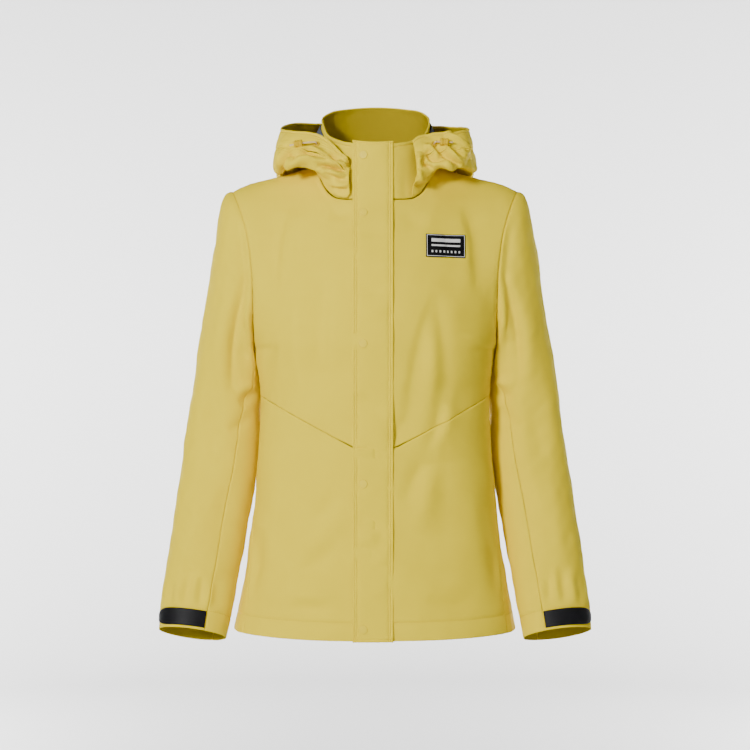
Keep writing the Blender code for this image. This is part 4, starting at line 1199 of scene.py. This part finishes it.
HOOD_FRONT_CREASES = creases(
    # wearer's right: the gathers under the brim, the folds above the arch, the curls by the flap
    (4.2, 0, 2.8, (-134, 21), (-120, 20), (-100, 20.5), (-80, 22)),
    (3, 0, -1.8, (-133, 27), (-118, 25.5), (-98, 25.5), (-78, 28)),
    (4.5, 0.3, -4.2, (-124, 20), (-116, 13), (-108, 6)),
    (4, 0, -3.6, (-121, 21), (-124, 8), (-128, -6)),
    (4, 0, 3, (-113, 17), (-117, 6), (-122, -4)),
    (3.8, 0, 3, (-130, 18), (-131, 6), (-132, -6)),
    (4.5, 0, 3.4, (-126, -6), (-113, 1), (-99, 6), (-80, 4), (-64, -1)),
    (3.6, 0, -3, (-106, 12), (-94, 14), (-78, 12)),
    (5, 0, 2.6, (-92, 19), (-80, 17), (-66, 12)),
    (3.4, -0.3, -5, (-80, -1), (-66, -3), (-52, -6), (-40, -10)),
    (4, 0, 3.6, (-66, 12), (-60, 3), (-48, -1), (-38, -4)),
    (3.4, 0, -3.4, (-62, 16), (-56, 9), (-51, 3)),
    (3.6, 0, -3, (-36, 12), (-33, 3), (-32, -6)),
    (4, 0, 2.6, (-46, 14), (-41, 6), (-38, 0)),
    (4, 0, -2.6, (-70, -10), (-60, -18), (-48, -22), (-34, -20)),
    (4.2, 0, 2.4, (-66, -6), (-54, -13), (-40, -16)),
    (4, 0, 2.2, (-62, -24), (-50, -29), (-34, -28)),
    (3.6, 0, -2.2, (-58, -30), (-48, -35), (-36, -34)),
    # wearer's left: the slanting ridge, the crossed folds under it, the curl by the collar
    (4.2, 0.3, 4.2, (96, 42), (106, 37), (118, 31), (132, 20)),
    (5.5, 0, -3.4, (104, 45), (117, 39), (132, 29)),
    (4.2, 0, -4, (70, 18), (78, 8), (88, 4), (96, 4)),
    (3.8, 0, 4, (67, 22), (74, 23), (82, 14), (86, 3)),
    (4, 0, 4, (90, 30), (100, 18), (110, 9), (126, 2)),
    (4, 0, -3.8, (88, 22), (96, 13), (104, 6), (116, -1)),
    (4.2, 0, -2.2, (106, 24), (115, 17), (125, 11)),
    (4.6, 0, 1.6, (114, 24), (121, 17), (128, 9)),
    (3.6, 0, 3.6, (78, -1), (90, 1), (104, -1), (120, -7)),
    (3.4, 0, -4.4, (70, 10), (66, 1), (74, -5), (80, -12)),
    (3.6, 0, 3, (62, 16), (60, 4), (64, -6)),
    (3.4, 0, -3.6, (56, 0), (50, -8), (52, -16), (58, -20)),
    (3.6, 0, 2.8, (62, -8), (60, -16), (66, -22)),
    (3.6, 0, -2.6, (54, -26), (62, -30), (72, -22)),
)
HOOD_BACK_CREASES = creases(
    (11, 0.2, -5.2, (-120, 30), (-92, -10), (-60, -60), (-40, -110)),
    (12, 0, 4, (-96, 34), (-66, -10), (-34, -60), (-20, -105)),
    (11, -0.2, -5.2, (124, 26), (98, -14), (64, -56), (46, -100)),
    (12, 0, 3.8, (100, 34), (74, -4), (40, -50), (30, -100)),
    (10, 0, -4.2, (-60, 44), (-30, 20), (10, 10), (52, 22)),
    (11, 0, 3.4, (-50, 22), (-20, 0), (20, -8), (56, 4)),
    (12, 0, -4, (4, -20), (-4, -60), (2, -115)),
    (10, 0, -4, (-142, -12), (-122, -40), (-96, -80)),
    (10, 0, 3.4, (-134, 4), (-114, -28), (-86, -66)),
    (10, 0, -4, (140, -6), (124, -36), (100, -76)),
    (10, 0, 3.4, (134, 10), (114, -22), (88, -60)),
    (9, 0, 3, (-70, -96), (-30, -126), (20, -128), (64, -98)),
)


def hood_relief(low_stop, high_stop):
    def relief(middle, _, level):
        stop = low_stop + (high_stop - low_stop) * level
        before, behind = facing(middle)
        p, q = middle[..., 0], middle[..., 2]
        wavy = undulation(HOOD_WAVES, p, middle[..., 1] + q)
        quiet = np.clip((QUIET_END - stop) / QUIET_RUN, QUIET_LEAST, 1)
        quiet = quiet * np.clip(stop / QUIET_START, 0, 1)
        return (wavy * quiet + HOOD_STRENGTH * before * crease_relief(HOOD_FRONT_CREASES, p, q)
                + behind * crease_relief(HOOD_BACK_CREASES, p, q))
    return relief


COLLAR_RADIUS = 0.08


def collar_relief(middle, share, level):
    azimuth = np.radians(360 * share)
    p, q = np.sin(azimuth) * COLLAR_RADIUS, middle[..., 2] + np.cos(azimuth) * COLLAR_RADIUS
    return undulation(COLLAR_WAVES, p, q) * level


# ---------------------------------------------------------------- the cut pieces
HEM_STITCH = 0.025
CUFF_STITCH = 0.028
COLLAR_STITCH = 0.0045
RIM_STITCH = 0.0035
SEAM_STITCH = 0.0024
COLLAR_THICKNESS = 0.0012
COLLAR_RIM, BRIM_RIM = 0.0010, 0.0008   # how much thicker their turned edges are
ARMHOLE_TUCK = 0.0032
SOFTEN_ROUNDS = 60
BODY_STEP = 0.0045
SLEEVE_STEP = 0.0045
HOOD_STEP = 0.0021
COLLAR_STEP = 0.0032
TAPE_STEP = 0.0035
TAB_STEP = 0.0016
FLAP_STEP = 0.0036
BAND_SEAM_STOP = 3.72                 # where the hood's panels meet the brim


def build_body():
    hem = {"bottom": (HEM_STITCH,)}
    back = cloth("back", back_surface, dict(left="seam", right="seam", bottom="fold", top="seam"),
                 BODY_STEP, stitches=hem, relief=back_relief, seed=3, even=SOFTEN_ROUNDS,
                 hold=("left", "right", "top"))
    lines = [line_of(back, "bottom", HEM_STITCH)]
    for side, label in SIDES:
        seams = dict(right="seam", top="seam")
        shared = dict(relief=front_relief(side), side=side)
        lower = cloth("front_%s_lower" % label, front_lower_surface, dict(seams, bottom="fold"),
                      BODY_STEP, stitches=hem, seed=5 + side, hold=("right",), **shared)
        cloth("front_%s_upper" % label, front_upper_surface, dict(seams, bottom="seam"),
              BODY_STEP, seed=9 + side, even=SOFTEN_ROUNDS, hold=("right", "top"), **shared)
        lines.append(line_of(lower, "bottom", HEM_STITCH))
    stitch_group("hem_stitches", lines)


def build_sleeves():
    lines = []
    for side, label in SIDES:
        for level, surface in (("upper", sleeve_upper_surface), ("under", sleeve_under_surface)):
            made = cloth("sleeve_%s_%s" % (label, level), surface,
                         dict(left="seam", right="seam", bottom="fold", top="seam"),
                         SLEEVE_STEP, stitches={"bottom": (CUFF_STITCH,)},
                         relief=sleeve_relief(side), side=side, hold=("top",), tuck=ARMHOLE_TUCK,
                         seed=13 + 2 * side + (level == "upper"))
            lines.append(line_of(made, "bottom", CUFF_STITCH))
    stitch_group("cuff_stitches", lines)


def build_collar():
    # its inner face takes the darkest copy of the cloth, painted shade inside the collar
    made = cloth("collar", collar_surface, dict(bottom="seam", top="fold"), COLLAR_STEP,
                 stitches={"top": (COLLAR_STITCH,)}, relief=collar_relief, rim=COLLAR_RIM,
                 faces=[shell_cloth, collar_inside_painted_shade], thickness=COLLAR_THICKNESS, seed=17,
                 closed=True)
    stitch_group("collar_stitches", [line_of(made, "top", COLLAR_STITCH)])


def build_tape():
    made = panel("neck_tape_band", tape_surface, ALL_FOLDED, TAPE_STEP, [tape_cloth], seed=18)
    declare("neck_tape")


def build_hood():
    left, right = HOOD_STARTS[1], 360 - HOOD_STARTS[-1]
    seam = HOOD_CENTRE_SEAM
    double = (SEAM_STITCH,)
    lines = []
    for name, start, end, kinds, sewn in (
            ("hood_side_left", left, seam, dict(left="fold", right="seam"), ("right",)),
            ("hood_centre", seam, 360 - seam, dict(left="seam", right="seam"), ("left", "right")),
            ("hood_side_right", 360 - seam, right, dict(left="seam", right="fold"), ("left",))):
        stitches = {edge: double for edge in sewn + ("top",)}
        made = cloth(name, hood_surface(start, end, 0, BAND_SEAM_STOP),
                     dict(kinds, bottom="seam", top="seam"), HOOD_STEP, held="folded",
                     stitches=stitches, relief=hood_relief(0, BAND_SEAM_STOP), seed=23)
        lines += [line_of(made, edge, SEAM_STITCH) for edge in stitches]
    brim = cloth("hood_brim", hood_surface(left, right, BAND_SEAM_STOP, RIM_STOP),
                 dict(left="fold", right="fold", bottom="seam", top="fold"), HOOD_STEP,
                 held="folded", stitches={"bottom": double, "top": (RIM_STITCH,)}, rim=BRIM_RIM,
                 relief=hood_relief(BAND_SEAM_STOP, RIM_STOP), seed=29)
    lines += [line_of(brim, "bottom", SEAM_STITCH), line_of(brim, "top", RIM_STITCH)]
    stitch_group("hood_stitches", lines)


# ---------------------------------------------------------------- storm flap and snaps
FLAP_STITCHES = (0.0030, 0.0058)
FLAP_LIFT = LAYER * FLAP_LAYERS + 0.0006
FLAP_MARGIN = 0.006                   # at either end of its stitches
FLAP_COLUMNS = 9
LOWER_ROWS, UPPER_ROWS, COLLAR_ROWS = 13, 25, 9
FLAP_EVENING = 2                      # rounds that even its rows out


def flap_table():
    """Middle points of the flap: the fronts' own surface moved out, then the collar's."""
    columns = []
    for out in np.linspace(*FLAP_EDGES, FLAP_COLUMNS):
        lower = front_at(front_lower_surface, abs(out), np.linspace(0, 1, LOWER_ROWS))
        upper = front_at(front_upper_surface, abs(out), np.linspace(0, 1, UPPER_ROWS)[1:])
        body = np.concatenate([lower, upper])
        body[:, 0] = out
        collar = collar_at(out, np.linspace(0, 1, COLLAR_ROWS)[1:])
        over = collar[-1:] + (0, 0, FLAP_TOP_ABOVE_COLLAR)
        columns.append(np.concatenate([body, collar, over]))
    table = np.stack(columns, 1)
    for _ in range(FLAP_EVENING):
        table[1:-1] = table[1:-1] * 0.5 + (table[:-2] + table[2:]) * 0.25
    table = table + normals(table) * FLAP_LIFT
    table[0, :, 2] = FLAP_BOTTOM
    return table


def table_surface(table):
    """Smooth surface through a table of points, its rows even along their mean length."""
    rows = arc_lengths(table.mean(1), 0)
    rows = rows / rows[-1]
    columns = np.linspace(0, 1, table.shape[1])

    def surface(s, t):
        by_row = [np.array([hermite(columns, row, s) for row in table[..., i]]) for i in range(3)]
        return np.stack([hermite(rows, values, t) for values in by_row], -1)
    return surface


FLAP_WAVES = ((0.060, 0.00045, 51), (0.026, 0.00018, 52))
FLAP_STRETCH = 0.6                    # of its waves, along its width


def flap_relief(middle, *_):
    p, q = middle[..., 0], middle[..., 2]
    return undulation(FLAP_WAVES, p * FLAP_STRETCH, q) + crease_relief(FLAP_CREASES, p, q)


FLAP_CREASES = creases(
    (10, 0, -1.1, (-30, -168), (0, -176), (22, -172)),
    (10, 0, 1, (-28, -195), (-4, -203), (20, -200)),
    (10, 0, -1.2, (-26, -318), (-4, -330), (18, -345)),
    (10, 0, 1.1, (-26, -345), (0, -360), (20, -378)),
    (9, 0, -1.1, (-24, -385), (0, -396), (20, -405)),
    (11, 0, -1.3, (-28, -478), (-5, -492), (18, -500)),
    (10, 0, 1.3, (-22, -505), (-2, -522), (12, -545)),
    (10, 0, -1.4, (-20, -535), (4, -518), (20, -500)),
    (10, 0, 1.1, (-24, -575), (0, -584), (18, -570)),
    (9, 0, -1.1, (-24, -86), (-4, -94), (18, -88)),
)


def build_flap():
    made = cloth("storm_flap", table_surface(flap_table()), ALL_FOLDED, FLAP_STEP,
                 stitches=dict(left=FLAP_STITCHES, right=FLAP_STITCHES, top=FLAP_STITCHES[:1],
                               bottom=FLAP_STITCHES[:1]), relief=flap_relief, seed=37)
    lines = [line_of(made, edge, place) for edge in ("left", "right") for place in FLAP_STITCHES]
    stitch_group("flap_stitches", lines, FLAP_MARGIN)
    for index, height in enumerate(SNAP_HEIGHTS):
        build_snap(index, made, height)


def nearest_place(made, out, height):
    """Outer point and normal of a panel at an x and z, seen from the front."""
    away = np.hypot(made.outer[..., 0] - out, made.outer[..., 2] - height)
    away = np.where(made.outer[..., 1] < 0, away, np.inf)
    r, c = np.unravel_index(np.argmin(away), away.shape)
    point, normal = made.outer[r, c], made.normal[r, c]
    shift = np.array([out - point[0], 0, height - point[2]])
    shift[1] = -(shift[0] * normal[0] + shift[2] * normal[2]) / normal[1]
    return point + shift, normal


SNAP_SEGMENTS = 40
SNAP_PROFILE = [(0.0, 0.00120), (0.0018, 0.00118), (0.0034, 0.00108), (0.0043, 0.00096),
                (0.0047, 0.00104), (0.0052, 0.00106), (0.0057, 0.00086), (0.0061, 0.00045),
                (0.0062, 0.0), (0.0058, -0.0003), (0.0, -0.0003)]


def build_snap(index, flap, height):
    point, normal = nearest_place(flap, SNAP_X, height)
    name = "snap_%d" % (index + 1)
    made = turned(name + "_cap", SNAP_PROFILE, point, normal, [snap_cap], SNAP_SEGMENTS)
    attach(made, "root")
    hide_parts(name)


def turned(name, profile, place, axis, materials, segments, loop=False):
    """A profile of radius and height turned about an axis."""
    turn = np.array(Vector((0, 0, 1)).rotation_difference(Vector(axis)).to_matrix())
    vertices, rings = [], []
    for radius, height in profile:
        sides = segments if radius > 0 else 1
        rings.append(range(len(vertices), len(vertices) + sides))
        for k in range(sides):
            angle = math.tau * k / segments
            local = np.array([radius * math.cos(angle), radius * math.sin(angle), height])
            vertices.append(place + turn @ local)
    faces = []
    for first, second in zip(rings, rings[1:] + rings[:loop]):
        for k in range(segments):
            n = (k + 1) % segments
            quad = (first[k % len(first)], second[k % len(second)],
                    second[n % len(second)], first[n % len(first)])
            faces.append(tuple(dict.fromkeys(quad)))
    return make_object(name, materials, vertices, faces)


# ---------------------------------------------------------------- cuff tabs and chest patch
TabStation = namedtuple("TabStation", "column width")
TAB_OUTLINE = [TabStation(0.12, 1.00), TabStation(4.9, 1.00), TabStation(5.7, 0.96),
               TabStation(6.4, 0.86), TabStation(7.0, 0.67), TabStation(7.42, 0.38)]
TAB_COLUMNS = 18                      # of the upper sleeve, in which the stations are given
TAB_LIFT = 0.0021
TAB_BEVEL = 0.0011


def tab_surface(s, t):
    column = TAB_OUTLINE[0].column + (TAB_OUTLINE[-1].column - TAB_OUTLINE[0].column) * s
    width = read(TAB_OUTLINE, column, "width")
    first, last = TAB_RINGS
    place = (first + last) / 2 + (last - first) / 2 * (2 * t - 1) * width
    return over_sleeve(column / TAB_COLUMNS, place)


def build_tabs():
    for side, label in SIDES:
        made = panel("cuff_tab_%s_rubber" % label, tab_surface, ALL_FOLDED, TAB_STEP, [tab_rubber],
                     side=side, lift=TAB_LIFT, thickness=TAB_THICKNESS, bevel=TAB_BEVEL, seed=43)
        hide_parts("cuff_tab_" + label)


GUESS = (0.45, 0.6)                   # of the patch's place on the upper front
GUESS_LIMITS = ((0.02, 0.95), (0.4, 0.99))
PROBE_STEP = 0.004
DAMPING = 0.7


def find_place(surface, out, height):
    """Parameters of a front surface at an x and z, by Newton's method."""
    s, t = (np.full(out.shape, value) for value in GUESS)
    for _ in range(30):
        here = surface(s, t)
        by_s = (surface(s + PROBE_STEP, t) - here) / PROBE_STEP
        by_t = (surface(s, t + PROBE_STEP) - here) / PROBE_STEP
        area = by_s[..., 0] * by_t[..., 2] - by_s[..., 2] * by_t[..., 0]
        dx, dz = out - here[..., 0], height - here[..., 2]
        s = np.clip(s + (dx * by_t[..., 2] - dz * by_t[..., 0]) / area * DAMPING, *GUESS_LIMITS[0])
        t = np.clip(t + (by_s[..., 0] * dz - by_s[..., 2] * dx) / area * DAMPING, *GUESS_LIMITS[1])
    return s, t


def patch_surface(s, t):
    out = PATCH_X[0] + (PATCH_X[1] - PATCH_X[0]) * s
    height = PATCH_Z[0] + (PATCH_Z[1] - PATCH_Z[0]) * t - PATCH_SKEW * s
    return front_upper_surface(*find_place(front_upper_surface, out, height))


PATCH_LIFT = 0.0011
PATCH_THICKNESS = 0.0007
PATCH_BEVEL = 0.0008
THREAD_LIFT = 0.0016
THREAD_THICKNESS = 0.0004
THREAD_CELL = (0.02, 0.04)            # of the patch's width and height
TICK_PITCH = 0.0975
TICK_WIDTH = 0.0375


def patch_threads():
    """A plain design of our own: a frame, two bands and a row of ticks."""
    boxes = [(0.028, 0.037, 0.045, 0.955), (0.963, 0.972, 0.045, 0.955),
             (0.028, 0.972, 0.045, 0.061), (0.028, 0.972, 0.939, 0.955),
             (0.14, 0.86, 0.66, 0.80), (0.14, 0.86, 0.47, 0.54)]
    starts = [0.14 + TICK_PITCH * k for k in range(8)]
    boxes += [(start, start + TICK_WIDTH, 0.20, 0.29) for start in starts]
    vertices, faces, slots, uvs = [], [], [], []
    base = 0
    for box in boxes:
        s, t = box_grid(*box)
        middle = patch_surface(s, t)
        normal = normals(middle)
        middle = middle + normal * (THREAD_LIFT + front_relief(1)(middle))[..., None]
        lengths = np.stack([arc_lengths(middle, 1), arc_lengths(middle, 0)], -1)
        points, quads, parts, uv = shell(middle, normal, THREAD_THICKNESS, lengths)
        faces += [tuple(base + index for index in quad) for quad in quads]
        base += len(points)
        vertices.append(points)
        slots += parts
        uvs.append(uv)
    return make_object("chest_patch_threads", [white_thread], np.concatenate(vertices), faces,
                       slots, np.concatenate(uvs))


def box_grid(left, right, bottom, top):
    columns = max(3, round((right - left) / THREAD_CELL[0]))
    rows = max(3, round((top - bottom) / THREAD_CELL[1]))
    return np.meshgrid(np.linspace(left, right, columns), np.linspace(bottom, top, rows))


def build_patch():
    made = panel("chest_patch_ground", patch_surface, ALL_FOLDED, TAB_STEP, [patch_cloth],
                 relief=front_relief(1), lift=PATCH_LIFT, thickness=PATCH_THICKNESS,
                 bevel=PATCH_BEVEL, seed=47)
    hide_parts("chest_patch")
    threads = patch_threads()
    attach(threads, "root")


# ---------------------------------------------------------------- draw cords
FACE_STOPS = (2.5, 5.0)               # of the hood's profile, between which its face rises


def hood_face(azimuth, height):
    """Outer point and normal of the hood's side at an azimuth and height."""
    low = close_in(*FACE_STOPS, lambda stop: hood_point(azimuth, stop)[..., 2] < height, rounds=30)
    along = hood_point(azimuth + 1, low) - hood_point(azimuth - 1, low)
    up = hood_point(azimuth, min(low + 0.1, 5)) - hood_point(azimuth, low - 0.1)
    outward = unit(np.cross(along, up))
    return hood_point(azimuth, low) + outward * (WALL / 2), outward


LOCK_BORE = CORD_DIAMETER / 2 + 0.0004
LOCK_SOFT = 0.0016
LOCK_HALF = LOCK_LENGTH / 2
LOCK_GROOVE = 0.0005                  # depth of the two grooves round it
LOCK_TOP = [(LOCK_BORE, LOCK_HALF - 0.0006), (LOCK_BORE + 0.0005, LOCK_HALF - 0.0001),
            (LOCK_BORE + 0.0012, LOCK_HALF), (LOCK_RADIUS - LOCK_SOFT, LOCK_HALF),
            (LOCK_RADIUS - 0.0008, LOCK_HALF - 0.0002), (LOCK_RADIUS - 0.0003, LOCK_HALF - 0.0006),
            (LOCK_RADIUS, LOCK_HALF - LOCK_SOFT), (LOCK_RADIUS, 0.0021),
            (LOCK_RADIUS - LOCK_GROOVE, 0.0017), (LOCK_RADIUS - LOCK_GROOVE, 0.0009),
            (LOCK_RADIUS, 0.0005)]
LOCK_PROFILE = LOCK_TOP + [(radius, -height) for radius, height in reversed(LOCK_TOP)]
CORD_SIDES = 14
CORD_POINTS = 25
TIP_RADIUS, TIP_LENGTH = 0.45, 0.3    # of the cord's softened ends, in its radii
EYELET_SIDES = 16
EYELET_SEGMENTS = 36
LOCK_SEGMENTS = 44


def tube(name, points, radius, materials):
    """Round tube with closed, softened ends; UV runs round it and along it in metres."""
    arc = arc_lengths(points, 0)
    tangents = np.gradient(points, axis=0)
    rings = [(points[0], tangents[0], TIP_RADIUS, -radius * TIP_LENGTH, arc[0])]
    rings += [(point, tangent, 1.0, 0.0, at) for point, tangent, at in zip(points, tangents, arc)]
    rings += [(points[-1], tangents[-1], TIP_RADIUS, radius * TIP_LENGTH, arc[-1])]
    vertices, uv = [], []
    for point, tangent, share, shift, at in rings:
        along = unit(tangent)
        sideways = unit(np.cross(along, (0.0, 0.0, 1.0)))
        vertices += ring_points(point + along * shift, along, sideways, radius * share, CORD_SIDES)
        uv += [(k / CORD_SIDES, at) for k in range(CORD_SIDES)]
    return make_object(name, materials, vertices, rod_faces(0, len(rings), CORD_SIDES), None, uv)


CORD_START = 0.0008                   # out of the hood's face, inside the eyelet
CORD_ARCH = (0.0045, 0.0066)          # how far out it stands on its way to the lock
CORD_LEAN = 0.0012
CORD_LEAD = 0.0025                    # straight run into the lock


def build_cord_set(side, label):
    place = CORD_PLACES[side]
    eyelet_face, eyelet_out = hood_face(side * place.eyelet_azimuth, place.eyelet_height)
    lock_face, lock_out = hood_face(side * place.lock_azimuth, place.lock_height)
    ring = [(EYELET_RADIUS + EYELET_WIRE * math.sin(turn), EYELET_WIRE * math.cos(turn))
            for turn in np.linspace(0, math.tau, EYELET_SIDES + 1)[:-1]]
    eyelet = turned("eyelet_%s_ring" % label, ring, eyelet_face + eyelet_out * EYELET_WIRE,
                    eyelet_out, [lock_plastic], EYELET_SEGMENTS, loop=True)
    start = eyelet_face + eyelet_out * CORD_START
    lock_middle = lock_face + lock_out * (LOCK_RADIUS + LOCK_STANDOFF)
    direction = lock_middle - start
    direction = unit(direction - lock_out * (direction @ lock_out))
    entry = lock_middle - direction * (LOCK_HALF + CORD_LEAD)
    end = lock_middle + direction * (LOCK_HALF + CORD_TAIL)
    half_way = direction @ (entry - start) / 2
    route = np.array([start, start + eyelet_out * CORD_ARCH[0] + direction * CORD_LEAN,
                      start + eyelet_out * CORD_ARCH[1] + direction * half_way, entry, end])
    path = curve(route, np.linspace(0, len(route) - 1, CORD_POINTS))
    cord = tube("drawcord_%s_braid" % label, path, CORD_DIAMETER / 2, [braid])
    lock = turned("cord_lock_%s_barrel" % label, LOCK_PROFILE, lock_middle, direction,
                  [lock_plastic], LOCK_SEGMENTS, loop=True)
    for piece, node_name in ((eyelet, "eyelet_"), (cord, "drawcord_"), (lock, "cord_lock_")):
        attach(piece, "root")
        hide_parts(node_name + label)
    length = float(arc_lengths(path, 0)[-1])
    print("CORD drawcord_%s %.4f m" % (label, length))


# ---------------------------------------------------------------- studio and camera
CAMERA_DISTANCE = 3.0                 # from the origin
CAMERA_HEIGHT = -0.289
CAMERA_LENS = 102.1
FLOOR_HEIGHT = -1.15
COVE_RADIUS, COVE_BEND, COVE_TOP = 4.0, 1.0, 2.6
COVE_SEGMENTS = 96
COVE_GREY = (0.45, 0.45, 0.45)
WORLD_STRENGTH = 0.02
GARMENT = (0, 0, -0.28)
# name, place, target, size and power
LIGHTS = (("key_light", (-1.45, -2.9, 0.55), GARMENT, 0.45, 116),
          ("fill_light", (1.1, -3.3, 0.2), GARMENT, 1.2, 9),
          ("top_light", (0.0, -1.2, 2.3), GARMENT, 1.0, 4),
          ("cove_light_left", (-2.2, 1.4, -0.3), (-1.3, 3.0, -0.3), 1.0, 430),
          ("cove_light_right", (2.2, 1.4, -0.3), (1.3, 3.0, -0.3), 1.0, 430))


def build_studio():
    """A round pale cove that stands behind the garment from every side."""
    material, _, shader = new_material("studio cove", 0.9, specular=0.1)
    shader.inputs["Base Color"].default_value = (*COVE_GREY, 1)
    profile = [(0.0, FLOOR_HEIGHT), (COVE_RADIUS - COVE_BEND, FLOOR_HEIGHT)]
    for degrees in range(10, 91, 10):
        turn = math.radians(degrees)
        profile.append((COVE_RADIUS - COVE_BEND * (1 - math.sin(turn)),
                        FLOOR_HEIGHT + COVE_BEND * (1 - math.cos(turn))))
    profile.append((COVE_RADIUS, COVE_TOP))
    cove = turned("studio_cove", profile, np.zeros(3), (0, 0, 1), [material], COVE_SEGMENTS)
    world = bpy.data.worlds.new("studio world")
    world.use_nodes = True
    background = world.node_tree.nodes["Background"]
    background.inputs["Color"].default_value = (1.0, 1.0, 1.0, 1)
    background.inputs["Strength"].default_value = WORLD_STRENGTH
    bpy.context.scene.world = world
    for light in LIGHTS:
        add_light(*light)


def add_light(name, place, target, size, power):
    data = bpy.data.lights.new(name, "AREA")
    data.energy = power
    data.size = size
    light = bpy.data.objects.new(name, data)
    light.location = place
    aim = Vector(target) - Vector(place)
    light.rotation_euler = aim.to_track_quat("-Z", "Y").to_euler()
    bpy.context.scene.collection.objects.link(light)


def build_camera():
    data = bpy.data.cameras.new("camera")
    data.sensor_width = 36
    data.lens = CAMERA_LENS
    camera = bpy.data.objects.new("camera", data)
    camera.location = (0, -CAMERA_DISTANCE, CAMERA_HEIGHT)
    camera.rotation_euler = (math.pi / 2, 0, 0)
    bpy.context.scene.collection.objects.link(camera)
    bpy.context.scene.camera = camera


build_camera()
for side, label in SIDES:
    build_cord_set(side, label)
build_body()
build_sleeves()
build_collar()
build_tape()
build_hood()
build_flap()
build_tabs()
build_patch()
build_studio()
